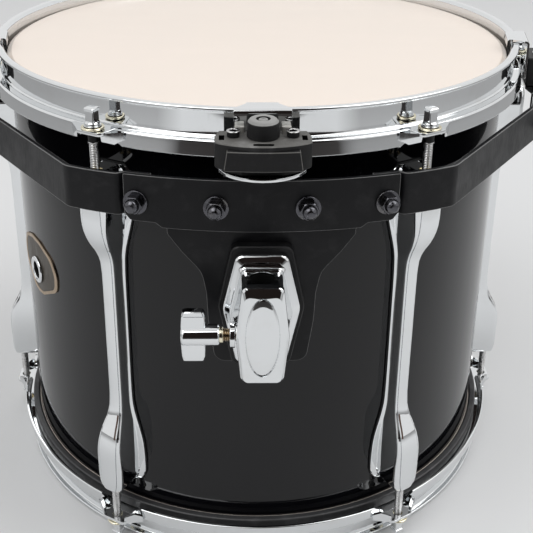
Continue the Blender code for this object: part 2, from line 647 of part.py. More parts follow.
def band_y(x, depth=0.0):
    """The y of the band's outer face at an x, or of a face that lies a depth behind it."""
    radius = BAND_ARC_RADIUS - depth
    return BAND_ARC_RADIUS - BAND_FRONT - math.sqrt(radius ** 2 - x ** 2)


def curved_plate(name, outline, depth, finish, drum, holes=()):
    """A steel plate of the band's curvature, cut to an outline of (x, z) points."""
    half = max(abs(x) for x, z in outline) + 2 * MM
    low = min(z for x, z in outline) - 2 * MM
    high = max(z for x, z in outline) + 2 * MM
    steps = max(6, round(half / (8 * MM)))
    rings = []
    for number in range(steps + 1):
        x = half * (2 * number / steps - 1)
        outer, inner = band_y(x, depth), band_y(x, depth + BAND_SHEET)
        rings.append([(x, outer, low), (x, outer, high), (x, inner, high), (x, inner, low)])
    bm = bmesh.new()
    loft(bm, rings)
    plate = new_mesh_object(name, bm, finish, drum)
    bm = bmesh.new()
    wrap = facing((0, 0, 0), (0, -1, 0))
    prism(bm, outline, -band_y(half, depth) - CUTTER_REACH, BAND_FRONT + CUTTER_REACH, wrap)
    boolean(plate, new_cutter(f"{name}_outline_guide", bm, drum), "INTERSECT")
    if holes:
        bm = bmesh.new()
        for x, z in holes:
            lathe(bm, hole_profile(BOLT_RADIUS + GAP), SMALL_STEPS, bolt_frame(x, z))
        boolean(plate, new_cutter(f"{name}_hole_cutter", bm, drum), "DIFFERENCE")
    return plate


def bolt_frame(x, z):
    """A frame on the band's outer face whose Z points straight out of it."""
    out = Vector((x, band_y(x) - (BAND_ARC_RADIUS - BAND_FRONT), 0))
    return facing((x, band_y(x), z), out)


def wing_path(depth):
    """The plan of a wing's outer face: a lap behind the centre plate, the arc, the bend and the run back."""
    points = []
    jog = BAND_SEAM + 0.4 * MM
    for x in (BAND_SEAM - BAND_LAP, jog):
        points.append(Vector((x, band_y(x, BAND_LAYER))))
    for x in (jog + BAND_LAYER, (BAND_SEAM + BAND_BEND) / 2, BAND_BEND):
        points.append(Vector((x, band_y(x))))
    angle = math.radians(WING_ANGLE)
    run = Vector((math.cos(angle), math.sin(angle)))
    points.append(points[-1] + 5 * MM * Vector((math.cos(0.8 * angle), math.sin(0.8 * angle))))
    start, azimuth = points[-1], math.radians(WING_END_AZIMUTH)
    ray = Vector((math.sin(azimuth), -math.cos(azimuth)))
    points.append(start + run * (ray.x * start.y - ray.y * start.x) / (run.x * ray.y - run.y * ray.x))
    if not depth:
        return points
    shifted = []
    for number, point in enumerate(points):
        before = (point - points[number - 1]).normalized() if number else None
        after = (points[number + 1] - point).normalized() if number + 1 < len(points) else None
        along = ((before or after) + (after or before)).normalized()
        inward = Vector((-along.y, along.x))
        stretch = 1.0 / max(0.5, along.dot(after or before))
        shifted.append(point + inward * depth * stretch)
    return shifted


def clip_bolt_frame():
    """A frame on the right wing's outer face, at the bolt of the side clip, whose Z points out of it."""
    angle = math.radians(WING_ANGLE)
    place = wing_path(0)[-1] - 0.5 * CLIP_LEG_LENGTH * Vector((math.cos(angle), math.sin(angle)))
    return facing((place.x, place.y, BOLT_HEIGHT), (math.sin(angle), -math.cos(angle), 0))


def wing(name, right, drum):
    """A bent arm of the band, from behind the centre plate to a side clip."""
    outline = [tuple(point) for point in wing_path(0)]
    outline += [tuple(point) for point in reversed(wing_path(BAND_SHEET))]
    bm = bmesh.new()
    prism(bm, outline, BAND_BOTTOM, BAND_TOP - 0.5 * MM)
    cuts = bmesh.new()
    for frame in (bolt_frame(BOLT_OUTER_X, BOLT_HEIGHT), clip_bolt_frame()):
        lathe(cuts, hole_profile(BOLT_RADIUS + GAP), SMALL_STEPS, frame)
    if not right:
        mirror_x(bm)
        mirror_x(cuts)
    arm = new_mesh_object(name, bm, "band_paint", drum)
    boolean(arm, new_cutter(f"{name}_hole_cutter", cuts, drum), "DIFFERENCE")


def suspension_band(drum):
    """The centre plate, the tongue that carries the bracket, and both wings."""
    bottom = BAND_BOTTOM
    half = [
        (0, BAND_TOP), (BAND_SEAM, BAND_TOP), (BAND_SEAM, bottom + 2.5 * MM), (BAND_SEAM - 4 * MM, bottom - 2 * MM),
        (PLATE_HALF_WIDTH + 5 * MM, bottom - 2 * MM), (PLATE_HALF_WIDTH + MM, bottom - 3 * MM),
        (PLATE_HALF_WIDTH, PLATE_BOTTOM), (0, PLATE_BOTTOM),
    ]
    outline = half + [(-x, z) for x, z in reversed(half[1:-1])]
    holes = [(side * x, BOLT_HEIGHT) for side in (-1, 1) for x in (BOLT_INNER_X, BOLT_OUTER_X)]
    curved_plate("mount_centre_plate", outline, 0, "band_paint", drum, holes)
    top, waist, low = TONGUE_TOP_HALF_WIDTH, TONGUE_HALF_WIDTH, TONGUE_END_HALF_WIDTH
    drop = PLATE_BOTTOM - TONGUE_BOTTOM
    half = [
        (top, PLATE_BOTTOM + TONGUE_LAP), (top, PLATE_BOTTOM - 0.11 * drop), (0.8 * top, PLATE_BOTTOM - 0.2 * drop),
        (waist + 2 * MM, PLATE_BOTTOM - 0.31 * drop), (waist, PLATE_BOTTOM - 0.45 * drop),
        (waist - 2 * MM, TONGUE_BOTTOM + 6 * MM), (low, TONGUE_BOTTOM + MM), (low - 5 * MM, TONGUE_BOTTOM),
    ]
    screws = bracket_screw_places()
    tongue = curved_plate("mount_tongue", both_sides(half), BAND_LAYER, "band_paint", drum)
    bm = bmesh.new()
    for x, z in screws:
        bore = BRACKET_SCREW_RADIUS + GAP
        frame = facing((x, 0, z), (0, -1, 0))
        near, far = TONGUE_FRONT - 8 * MM, TONGUE_FRONT + 5 * MM
        lathe(bm, [(0, near), (bore, near), (bore, far), (0, far)], SMALL_STEPS, frame)
    boolean(tongue, new_cutter("tongue_hole_cutter", bm, drum), "DIFFERENCE")
    wing("mount_wing_left", False, drum)
    wing("mount_wing_right", True, drum)


def band_bolts(drum):
    """Bolts from behind, each with its washer and acorn nut on the band's outer face."""
    places = []
    for side in (-1, 1):
        clip = clip_bolt_frame()
        if side < 0:
            flip = Matrix.Scale(-1, 4, (1, 0, 0))
            clip = flip @ clip @ flip
        places += [
            (bolt_frame(side * BOLT_INNER_X, BOLT_HEIGHT), BAND_LAYER + LOWER_PLATE_SHEET),
            (bolt_frame(side * BOLT_OUTER_X, BOLT_HEIGHT), BAND_LAYER + BAND_SHEET),
            (clip, BAND_LAYER + LOWER_PLATE_SHEET),
        ]
    for number, (frame, behind) in enumerate(places, start=1):
        seat = GAP + BOLT_WASHER
        back = -(behind + GAP)
        bm = bmesh.new()
        stem = [
            (0, back - BOLT_HEAD), (BOLT_HEAD_RADIUS, back - BOLT_HEAD), (BOLT_HEAD_RADIUS, back),
            (BOLT_RADIUS, back), (BOLT_RADIUS, GAP), (BOLT_WASHER_RADIUS, GAP), (BOLT_WASHER_RADIUS, seat), (0, seat),
        ]
        lathe(bm, stem, SMALL_STEPS, frame)
        bolt = new_mesh_object(f"mount_bolt_{number}", bm, "dark_nickel", drum)
        low = seat - 0.5 * BOLT_WASHER
        dome = [
            (0, low), (ACORN_RADIUS, low), (ACORN_RADIUS, seat + ACORN_HEX), (0.75 * ACORN_RADIUS, seat + ACORN_HEX),
            (0.5 * ACORN_RADIUS, seat + 0.9 * ACORN_HEIGHT), (0, seat + ACORN_HEIGHT),
        ]
        bm = bmesh.new()
        lathe(bm, dome, 6, frame)
        boolean(bolt, new_cutter(f"mount_acorn_guide_{number}", bm, drum), "UNION")


def hook(name, azimuth, half_width, tip_half_width, drum):
    """A bent chrome plate that reaches over the hoop's rim and down its inner and outer sides."""
    top = TOTAL_HEIGHT + GAP + HOOK_SHEET
    facet_radius = HOOP_INNER_RADIUS * math.cos(math.pi / ROUND_STEPS)
    inner = math.sqrt(facet_radius ** 2 - tip_half_width ** 2) - GAP
    tip = inner - HOOK_SHEET
    side = [
        (-HOOK_FRONT, GRIP_BOTTOM), (-HOOK_FRONT, top - 0.5 * MM), (0.5 * MM - HOOK_FRONT, top),
        (-0.5 * MM - tip, top), (-tip, top - 0.5 * MM), (-tip, TOTAL_HEIGHT - HOOK_LIP),
        (-inner, TOTAL_HEIGHT - HOOK_LIP), (-inner, TOTAL_HEIGHT + GAP), (-HOOK_BACK, TOTAL_HEIGHT + GAP),
        (-HOOK_BACK, GRIP_BOTTOM),
    ]
    bm = bmesh.new()
    sweep = Matrix(((0, 0, 1, 0), (1, 0, 0, 0), (0, 1, 0, 0), (0, 0, 0, 1)))
    prism(bm, side, -half_width, half_width, sweep)
    bmesh.ops.transform(bm, matrix=at_azimuth(azimuth), verts=bm.verts)
    plate = new_mesh_object(name, bm, "chrome", drum)
    cuts = bmesh.new()
    outside, shoulder = half_width + 2 * MM, HOOK_BACK - 2 * MM
    for sign in (-1, 1):
        waste = [
            (sign * outside, -shoulder), (sign * half_width, -shoulder), (sign * tip_half_width, -inner - 3 * MM),
            (sign * tip_half_width, 5 * MM - tip), (sign * outside, 5 * MM - tip),
        ]
        prism(cuts, waste, TOTAL_HEIGHT - 2 * HOOK_LIP, top + MM, at_azimuth(azimuth))
    boolean(plate, new_cutter(f"{name}_taper_cutter", cuts, drum), "DIFFERENCE")


def vertical_cylinder(bm, x, y, radius, low, high, steps=SMALL_STEPS):
    frame = Matrix.Translation((x, y, 0))
    lathe(bm, [(0, low), (radius, low), (radius, high), (0, high)], steps, frame)


def front_grip(drum):
    """The moulded grip at the front: body, hook, knob, posts, rubber isolator and lower plate."""
    bulge = GRIP_FRONT - GRIP_CORNER
    front = arc_points((-GRIP_HALF_WIDTH, -GRIP_CORNER), (GRIP_HALF_WIDTH, -GRIP_CORNER), bulge, 10)
    plan = front + [(GRIP_HALF_WIDTH - 1.5 * MM, -GRIP_BACK), (1.5 * MM - GRIP_HALF_WIDTH, -GRIP_BACK)]
    bm = bmesh.new()
    prism(bm, plan, GRIP_BOTTOM, GRIP_TOP)
    body = new_mesh_object("grip_body", bm, "plastic", drum)
    bevel = body.modifiers.new("soft edges", "BEVEL")
    bevel.width = 0.8 * MM
    bevel.segments = 1
    bevel.limit_method = "ANGLE"
    bevel.angle_limit = math.radians(50)
    cuts = bmesh.new()
    panel_top = 0.75 * GRIP_HALF_WIDTH
    panel = [
        (-0.84 * GRIP_HALF_WIDTH, GRIP_BOTTOM - MM), (0.84 * GRIP_HALF_WIDTH, GRIP_BOTTOM - MM),
        (panel_top, GRIP_TOP - GRIP_PANEL_DROP), (-panel_top, GRIP_TOP - GRIP_PANEL_DROP),
    ]
    prism(cuts, panel, GRIP_PANEL, GRIP_FRONT + 5 * MM, facing((0, 0, 0), (0, -1, 0)))
    near, far = KNOB_CENTRE - GRIP_SQUARE_HALF, KNOB_CENTRE + GRIP_SQUARE_HALF
    for x in (-GRIP_SQUARE_X, GRIP_SQUARE_X):
        west, east = x - GRIP_SQUARE_HALF, x + GRIP_SQUARE_HALF
        square = [(west, -far), (east, -far), (east, -near), (west, -near)]
        prism(cuts, square, GRIP_TOP - GRIP_SQUARE_DEPTH, GRIP_TOP + MM)
    far = GRIP_FRONT - GRIP_SLOT_INSET
    half, near = GRIP_SLOT_HALF_WIDTH, far - GRIP_SLOT_WIDTH
    slot = [(-half, -far), (half, -far), (half, -near), (-half, -near)]
    prism(cuts, slot, GRIP_TOP - GRIP_SLOT_DEPTH, GRIP_TOP + MM)
    vertical_cylinder(cuts, 0, -KNOB_CENTRE, KNOB_BOLT_RADIUS + GAP, GRIP_BOTTOM - MM, GRIP_TOP + MM)
    boolean(body, new_cutter("grip_body_cutter", cuts, drum), "DIFFERENCE")
    hook("grip_hook", 0, HOOK_HALF_WIDTH, HOOK_TIP_HALF_WIDTH, drum)
    bm = bmesh.new()
    seat = GRIP_TOP + GAP
    foot = LOWER_PLATE_BOTTOM
    recess = seat + KNOB_HEIGHT - 1.5 * MM
    knob = [
        (0, foot), (KNOB_BOLT_RADIUS, foot), (KNOB_BOLT_RADIUS, seat), (KNOB_RADIUS, seat),
        (0.97 * KNOB_RADIUS, seat + 0.85 * KNOB_HEIGHT), (0.88 * KNOB_RADIUS, seat + KNOB_HEIGHT),
        (3.7 * MM, seat + KNOB_HEIGHT), (3.7 * MM, recess), (1.8 * MM, recess),
        (1.8 * MM, seat + KNOB_HEIGHT - 0.4 * MM), (0, seat + KNOB_HEIGHT - 0.4 * MM),
    ]
    lathe(bm, knob, 12, Matrix.Translation((0, -KNOB_CENTRE, 0)))
    new_mesh_object("grip_knob", bm, "rubber", drum)
    for side, x in (("left", -POST_X), ("right", POST_X)):
        bm = bmesh.new()
        low, high = GRIP_TOP + GAP, GRIP_TOP + GAP + POST_HEIGHT
        ring = [(0, low), (POST_RADIUS, low), (POST_RADIUS, high), (0.55 * POST_RADIUS, high)]
        ring += [(0.55 * POST_RADIUS, low + 0.5 * MM), (0, low + 0.5 * MM)]
        lathe(bm, ring, SMALL_STEPS, Matrix.Translation((x, -KNOB_CENTRE, 0)))
        new_mesh_object(f"grip_post_{side}", bm, "steel", drum)
    bm = bmesh.new()
    hole = KNOB_BOLT_RADIUS + GAP
    low = foot - MM
    vertical_cylinder(bm, 0, -KNOB_CENTRE, hole, low, GRIP_BOTTOM + MM)
    bolt_hole = new_cutter("grip_bolt_cutter", bm, drum)
    bm = bmesh.new()
    pad = [(0.75 * GRIP_HALF_WIDTH, -GRIP_BACK - 4 * MM), (0.75 * GRIP_HALF_WIDTH, -GRIP_CORNER),
           (0.4 * GRIP_HALF_WIDTH, 3 * MM - GRIP_PANEL)]
    prism(bm, both_sides(pad), LOWER_PLATE_TOP + GAP, GRIP_BOTTOM - GAP)
    isolator = new_mesh_object("grip_isolator", bm, "rubber", drum)
    boolean(isolator, bolt_hole, "DIFFERENCE")
    corner = GRIP_BACK + 5.5 * MM
    front = arc_points(
        (-LOWER_PLATE_HALF_WIDTH, -corner), (LOWER_PLATE_HALF_WIDTH, -corner), LOWER_PLATE_FRONT - corner, 10)
    shares = (1, 0.5, 0, -0.5, -1)
    inside = BAND_LAYER + 0.5 * LOWER_PLATE_SHEET
    plan = front + [(share * LOWER_PLATE_HALF_WIDTH, band_y(share * LOWER_PLATE_HALF_WIDTH, inside))
                    for share in shares]
    bm = bmesh.new()
    prism(bm, plan, foot, LOWER_PLATE_TOP)
    plate = new_mesh_object("grip_lower_plate", bm, "chrome", drum)
    low = LOWER_PLATE_TOP - LEG_HEIGHT
    for part, half_width, high in (
            ("neck", LEG_NECK_HALF_WIDTH, LOWER_PLATE_TOP - 0.4 * MM), ("leg", LEG_HALF_WIDTH, BAND_TOP - LEG_BELOW_BAND)):
        rings = []
        for share in shares:
            x = share * half_width
            outer, inner = band_y(x, BAND_LAYER), band_y(x, BAND_LAYER + LOWER_PLATE_SHEET)
            rings.append([(x, outer, low), (x, outer, high), (x, inner, high), (x, inner, low)])
        bm = bmesh.new()
        loft(bm, rings)
        boolean(plate, new_cutter(f"grip_{part}_guide", bm, drum), "UNION")
    boolean(plate, bolt_hole, "DIFFERENCE")
    bm = bmesh.new()
    for x in (-BOLT_INNER_X, BOLT_INNER_X):
        lathe(bm, hole_profile(BOLT_RADIUS + 2 * GAP), SMALL_STEPS, bolt_frame(x, BOLT_HEIGHT))
    boolean(plate, new_cutter("grip_leg_cutter", bm, drum), "DIFFERENCE")


def side_clip(side, right, drum):
    """A hoop clip at the end of a wing: moulded body, hook and the bracket bolted inside the wing."""
    sign = 1 if right else -1
    azimuth = sign * CLIP_AZIMUTH
    hook(f"clip_{side}_hook", azimuth, CLIP_HALF_WIDTH, 0.72 * CLIP_HALF_WIDTH, drum)
    front = GRIP_BACK + CLIP_DEPTH
    half = [(CLIP_HALF_WIDTH, -GRIP_BACK), (CLIP_HALF_WIDTH, 5 * MM - front), (CLIP_HALF_WIDTH - 5 * MM, -front)]
    bm = bmesh.new()
    prism(bm, both_sides(half), LOWER_PLATE_TOP + GAP, GRIP_TOP, at_azimuth(azimuth))
    body = new_mesh_object(f"clip_{side}_body", bm, "plastic", drum)
    bevel = body.modifiers.new("soft edges", "BEVEL")
    bevel.width = 1.2 * MM
    bevel.segments = 1
    bevel.limit_method = "ANGLE"
    bevel.angle_limit = math.radians(50)
    angle = math.radians(WING_ANGLE)
    run = Vector((math.cos(angle), math.sin(angle)))
    inward = Vector((-run.y, run.x))
    end = wing_path(0)[-1] + inward * (BAND_SHEET + GAP)
    start = end - run * CLIP_LEG_LENGTH
    leg = [start, end, end + inward * LOWER_PLATE_SHEET, start + inward * LOWER_PLATE_SHEET]
    turn = at_azimuth(CLIP_AZIMUTH)
    corners = [(x, -radius) for x, radius in ((CLIP_HALF_WIDTH, front), (CLIP_HALF_WIDTH, GRIP_BACK),
                                              (-CLIP_HALF_WIDTH, GRIP_BACK))]
    shelf = [start, end] + [(turn @ Vector((x, y, 0))).to_2d() for x, y in corners]
    plate_bm, leg_bm, cuts = bmesh.new(), bmesh.new(), bmesh.new()
    prism(plate_bm, [tuple(point) for point in shelf], LOWER_PLATE_BOTTOM, LOWER_PLATE_TOP)
    prism(leg_bm, [tuple(point) for point in leg], LOWER_PLATE_TOP - LEG_HEIGHT, LOWER_PLATE_TOP - 0.4 * MM)
    lathe(cuts, hole_profile(BOLT_RADIUS + GAP), SMALL_STEPS, clip_bolt_frame())
    if not right:
        for bm in (plate_bm, leg_bm, cuts):
            mirror_x(bm)
    bracket = new_mesh_object(f"clip_{side}_bracket", plate_bm, "steel", drum)
    boolean(bracket, new_cutter(f"clip_{side}_leg_guide", leg_bm, drum), "UNION")
    boolean(bracket, new_cutter(f"clip_{side}_hole_cutter", cuts, drum), "DIFFERENCE")


def bracket_outline(half_width, top_half_width, top, bottom, corner):
    """A six-sided outline, broadest at the bracket's middle, with cut corners at both ends."""
    half = [
        (half_width, BRACKET_SHOULDER), (top_half_width, top - corner), (top_half_width - corner, top),
    ]
    low = [(top_half_width - corner, bottom), (top_half_width, bottom + corner)]
    right = low + half
    return right + [(-x, z) for x, z in reversed(right)]


def bracket_screw_places():
    rise = 0.36 * (BRACKET_TOP - BRACKET_BOTTOM)
    return [(0, BRACKET_SHOULDER + rise), (0, BRACKET_SHOULDER - rise)]


def outline_loft(bm, layers):
    """Loft outlines of (x, z) points that stand at distances from the drum's axis."""
    loft(bm, [[(x, -distance, z) for x, z in outline] for outline, distance in layers])


def holder_bracket(drum):
    """Gasket, base plate, housing with the rod socket, cover, boss, clamp shoe and wing bolt."""
    corner = 3.5 * MM
    ledge = BRACKET_GASKET_LEDGE
    outline = bracket_outline(
        BRACKET_HALF_WIDTH + ledge, BRACKET_TOP_HALF_WIDTH + ledge, BRACKET_TOP + 1.5 * ledge,
        BRACKET_BOTTOM - ledge, corner)
    bm = bmesh.new()
    outline_loft(bm, [(outline, TONGUE_FRONT + GAP), (outline, BASE_BACK - GAP)])
    gasket = new_mesh_object("bracket_gasket", bm, "rubber", drum)
    plate_outlines = [
        (bracket_outline(BRACKET_HALF_WIDTH - inset, BRACKET_TOP_HALF_WIDTH - inset, BRACKET_TOP - inset,
                         BRACKET_BOTTOM + inset, corner), distance)
        for inset, distance in ((0, BASE_BACK), (0, BASE_FRONT - BASE_PLATE_BEVEL), (BASE_PLATE_BEVEL, BASE_FRONT))
    ]
    bm = bmesh.new()
    outline_loft(bm, plate_outlines)
    base = new_mesh_object("bracket_base_plate", bm, "chrome", drum)
    bm = bmesh.new()
    back = bracket_outline(HOUSING_HALF_WIDTH, COVER_TOP_HALF_WIDTH, HOUSING_TOP, HOUSING_BOTTOM, corner)
    front = bracket_outline(COVER_HALF_WIDTH, COVER_TOP_HALF_WIDTH, HOUSING_TOP, HOUSING_BOTTOM, corner)
    outline_loft(bm, [(back, HOUSING_BACK), (front, HOUSING_FRONT)])
    housing = new_mesh_object("bracket_housing", bm, "chrome", drum)
    cuts = bmesh.new()
    vertical_cylinder(cuts, 0, -SOCKET_DEPTH, SOCKET_RADIUS, HOUSING_BOTTOM - MM, HOUSING_TOP + MM, 16)
    boolean(housing, new_cutter("housing_socket_cutter", cuts, drum), "DIFFERENCE")
    cuts = bmesh.new()
    side = facing((0, -SOCKET_DEPTH, CLAMP_HEIGHT), (-1, 0, 0))
    reach = HOUSING_HALF_WIDTH + 2 * MM
    pad = BOSS_RADIUS + GAP
    bore = [
        (0, 0), (CLAMP_BORE_RADIUS, 0), (CLAMP_BORE_RADIUS, BOSS_SEAT), (pad, BOSS_SEAT), (pad, reach), (0, reach)]
    lathe(cuts, bore, 12, side)
    boolean(housing, new_cutter("housing_clamp_cutter", cuts, drum), "DIFFERENCE")
    bm = bmesh.new()
    layers = []
    for inset, drop in ((0, COVER_DEPTH), (0, COVER_EDGE), (0.4 * COVER_EDGE, 0.4 * COVER_EDGE), (1.2 * COVER_EDGE, 0)):
        shape = bracket_outline(
            COVER_HALF_WIDTH - inset, COVER_TOP_HALF_WIDTH - inset, COVER_TOP - inset, COVER_BOTTOM + inset, corner)
        layers.append((shape, COVER_FRONT - drop))
    outline_loft(bm, layers)
    cover = new_mesh_object("bracket_cover", bm, "chrome", drum)
    bm = bmesh.new()
    middle = (COVER_TOP + COVER_BOTTOM) / 2
    size = Matrix.Diagonal((OVAL_HALF_WIDTH, 1, OVAL_HALF_HEIGHT, 1))
    oval = Matrix.Translation((0, 0, middle)) @ size @ facing((0, 0, 0), (0, -1, 0))
    near, far = COVER_FRONT - OVAL_GROOVE, COVER_FRONT + 2 * MM
    lathe(bm, [(1, near), (1, far), (0.93, far), (0.93, near)], 20, oval)
    boolean(cover, new_cutter("cover_oval_cutter", bm, drum), "DIFFERENCE")
    bm = bmesh.new()
    seat = BOSS_SEAT + GAP
    ring = washer_profile(BOLT_SHANK_RADIUS + GAP, BOSS_RADIUS, seat, seat + BOSS_LENGTH)
    lathe(bm, ring, 12, side)
    new_mesh_object("bracket_boss", bm, "chrome", drum)
    bracket_screws(gasket, base, drum)
    clamp(seat + BOSS_LENGTH, drum)


def bracket_screws(gasket, base, drum):
    """Screws that pass from behind the tongue through the gasket into the base plate."""
    cuts, screws = bmesh.new(), bmesh.new()
    near = TONGUE_FRONT - BAND_SHEET - GAP
    far = BASE_BACK + 0.5 * BASE_PLATE
    for x, z in bracket_screw_places():
        frame = facing((x, 0, z), (0, -1, 0))
        bore = BRACKET_SCREW_RADIUS + GAP
        lathe(cuts, [(0, near), (bore, near), (bore, BASE_BACK), (0, BASE_BACK)], SMALL_STEPS, frame)
        stem = [
            (0, near - BRACKET_SCREW_HEAD), (BRACKET_SCREW_HEAD_RADIUS, near - 0.6 * BRACKET_SCREW_HEAD),
            (BRACKET_SCREW_HEAD_RADIUS, near), (BRACKET_SCREW_RADIUS, near), (BRACKET_SCREW_RADIUS, far), (0, far),
        ]
        lathe(screws, stem, SMALL_STEPS, frame)
    boolean(gasket, new_cutter("bracket_screw_cutter", cuts, drum), "DIFFERENCE")
    boolean(base, new_cutter("bracket_screw_guide", screws, drum), "UNION")


def clamp(boss_end, drum):
    """The shoe that presses the holder rod and the wing bolt that drives it, drawn about the clamp axis."""
    frame = facing((0, -SOCKET_DEPTH, CLAMP_HEIGHT), (-1, 0, 0))
    bm = bmesh.new()
    tip = SHOE_TIP
    shoe_end = tip + SHOE_LENGTH
    profile = [(0, tip), (0.8 * SHOE_RADIUS, tip), (SHOE_RADIUS, tip + 0.6 * MM), (SHOE_RADIUS, shoe_end), (0, shoe_end)]
    lathe(bm, profile, 12)
    shoe = new_mesh_object("clamp_shoe", bm, "brass", drum)
    shoe.matrix_local = frame
    bm = bmesh.new()
    start = shoe_end + GAP
    hub = boss_end + HUB_GAP
    wing_start = hub + HUB_LENGTH
    wing_end = wing_start + WING_DEPTH
    profile = [
        (0, start), (BOLT_SHANK_RADIUS, start), (BOLT_SHANK_RADIUS, hub), (HUB_RADIUS, hub),
        (HUB_RADIUS, wing_end - HUB_EDGE), (HUB_RADIUS - HUB_EDGE, wing_end), (0, wing_end),
    ]
    lathe(bm, profile, 12)
    bolt = new_mesh_object("wing_bolt", bm, "chrome", drum)
    bm = bmesh.new()
    half_span, half_thick, corner = WING_SPAN / 2, WING_THICKNESS / 2, 3 * MM
    blade = [
        (wing_start, half_span - corner), (wing_start + corner, half_span), (wing_end - corner, half_span),
        (wing_end, half_span - 2 * corner),
    ]
    blade += [(along, -across) for along, across in reversed(blade)]
    spread = Matrix(((0, 0, -1, 0), (0, 1, 0, 0), (1, 0, 0, 0), (0, 0, 0, 1)))
    prism(bm, blade, -half_thick, half_thick, spread)
    wings = new_cutter("wing_guide", bm, drum)
    for thing in (bolt, wings):
        thing.matrix_local = frame
    boolean(bolt, wings, "UNION")


def build():
    for thing in list(bpy.data.objects):
        bpy.data.objects.remove(thing)
    drum = bpy.data.objects.new("drum_axis", None)
    bpy.context.scene.collection.objects.link(drum)
    drum.location = (0, AXIS_SHIFT, 0)
    shell(drum)
    for side, batter in (("batter", True), ("resonant", False)):
        hoop(f"{side}_hoop", batter, drum)
        head(f"{side}_head", batter, drum)
        flesh_hoop(f"{side}_flesh_hoop", batter, drum)
        for number, azimuth in enumerate(LUG_AZIMUTHS, start=1):
            tension_rod(f"{side}_rod_{number}", azimuth, batter, drum)
    for number, azimuth in enumerate(LUG_AZIMUTHS, start=1):
        lug(number, azimuth, drum)
    badge(drum)
    suspension_band(drum)
    band_bolts(drum)
    front_grip(drum)
    side_clip("left", False, drum)
    side_clip("right", True, drum)
    holder_bracket(drum)
    bpy.context.view_layer.update()


build()
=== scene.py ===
"""Dressed scene of the tom-tom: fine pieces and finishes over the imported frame.

All pieces are drawn in millimetres about the drum's axis, with the holder bracket towards -Y,
and are turned to their azimuth, moved to the frame's origin and scaled to metres when they are set down.
"""
import math

import bpy
from mathutils import Matrix, Vector


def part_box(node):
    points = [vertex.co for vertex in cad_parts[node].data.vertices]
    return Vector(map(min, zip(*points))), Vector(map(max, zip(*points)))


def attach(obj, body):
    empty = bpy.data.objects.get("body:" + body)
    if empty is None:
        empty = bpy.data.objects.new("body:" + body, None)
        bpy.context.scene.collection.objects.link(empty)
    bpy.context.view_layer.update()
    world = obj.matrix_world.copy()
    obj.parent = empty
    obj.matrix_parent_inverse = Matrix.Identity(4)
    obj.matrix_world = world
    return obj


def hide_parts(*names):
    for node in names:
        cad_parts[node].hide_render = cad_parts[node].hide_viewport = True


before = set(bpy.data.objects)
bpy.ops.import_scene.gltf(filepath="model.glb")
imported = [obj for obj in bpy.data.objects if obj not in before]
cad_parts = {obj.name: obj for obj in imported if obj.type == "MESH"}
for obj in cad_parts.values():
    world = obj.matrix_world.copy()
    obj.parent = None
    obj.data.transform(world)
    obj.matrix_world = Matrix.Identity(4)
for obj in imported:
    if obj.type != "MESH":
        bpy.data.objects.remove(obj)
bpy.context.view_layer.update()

bl_info = {
    "name": "Tom-tom",
    "version": (1, 0, 0),
    "blender": (4, 5, 0),
    "location": "3D View > Sidebar > Tom-tom",
    "description": "Builds a tom-tom with its suspension mount and holder bracket over its CAD frame",
    "category": "Add Mesh",
}

MM = 0.001
SHELL_LOW, SHELL_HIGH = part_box("shell")
AXIS_Y = (SHELL_LOW.y + SHELL_HIGH.y) / 2
SHELL = (SHELL_HIGH.x - SHELL_LOW.x) / 2 / MM
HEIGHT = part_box("batter_hoop")[1].z / MM
AZIMUTHS = (30, 90, 150, 210, 270, 330)
ROUND = 192

HOOP_IN, HOOP_OUT, SKIRT, EAR = 180.6, 182.9, 190.7, 200.0
ROD_CIRCLE, ROD_SEAT = 194.4, 17.7
FILM_TOP = 314.3
BAND_FRONT, BAND_RADIUS, BAND_SHEET, BAND_LAYER = 199.0, 280.0, 3.0, 3.3
BAND_TOP, BAND_BOTTOM, PLATE_BOTTOM = 284.0, 257.5, 252.4
BOLT_Z = 267.3
GRIP_TOP, GRIP_BOTTOM, GRIP_BACK, GRIP_FRONT, KNOB_Y = 312.0, 297.0, 192.95, 219.45, 202.45
SQUARE_X, SHOULDER = 22.5, 206.0
SOCKET_Y, CLAMP_Z = 218.9, 197.2
VENT_Z, BADGE_Z = 169.5, 172.5
BOSS_SEAT, THREAD_PITCH = 15.0, 1.25
BADGE_AZIMUTH, CLIP_AZIMUTH, VENT_BORE = -60, 80, 5.3
LEDGE_TOP, LEDGE_BOTTOM, LEG_BOTTOM = 291.8, 289.8, 261.8
WING_ANGLE = math.radians(54.2)
FRONT = (0, -1, 0)
AT_ROD = Matrix.Translation((0, -ROD_CIRCLE, 0))


def at(azimuth):
    """The turn that takes a piece from the front to an azimuth, in degrees."""
    return Matrix.Rotation(math.radians(azimuth), 4, "Z")


def towards(place, direction):
    """A frame at a place whose Z points along a direction."""
    return Matrix.Translation(place) @ Vector(direction).to_track_quat("Z", "Y").to_matrix().to_4x4()


def only(piece):
    """Select one piece alone and make it active."""
    bpy.ops.object.select_all(action="DESELECT")
    piece.select_set(True)
    bpy.context.view_layer.objects.active = piece


def edit(piece):
    """Open a piece in edit mode with all of it selected."""
    only(piece)
    bpy.ops.object.mode_set(mode="EDIT")
    bpy.ops.mesh.select_all(action="SELECT")


def close_edit():
    """Merge doubles, point the faces outwards and leave edit mode."""
    bpy.ops.mesh.select_all(action="SELECT")
    bpy.ops.mesh.remove_doubles(threshold=0.002)
    bpy.ops.mesh.normals_make_consistent(inside=False)
    bpy.ops.object.mode_set(mode="OBJECT")


def loop(points, fill="NOTHING"):
    """Add a circle and move its vertices onto a closed outline of points."""
    bpy.ops.object.select_all(action="DESELECT")
    bpy.ops.mesh.primitive_circle_add(vertices=len(points), radius=1.0, fill_type=fill)
    piece = bpy.context.object
    for vert, point in zip(piece.data.vertices, points):
        vert.co = point
    return piece


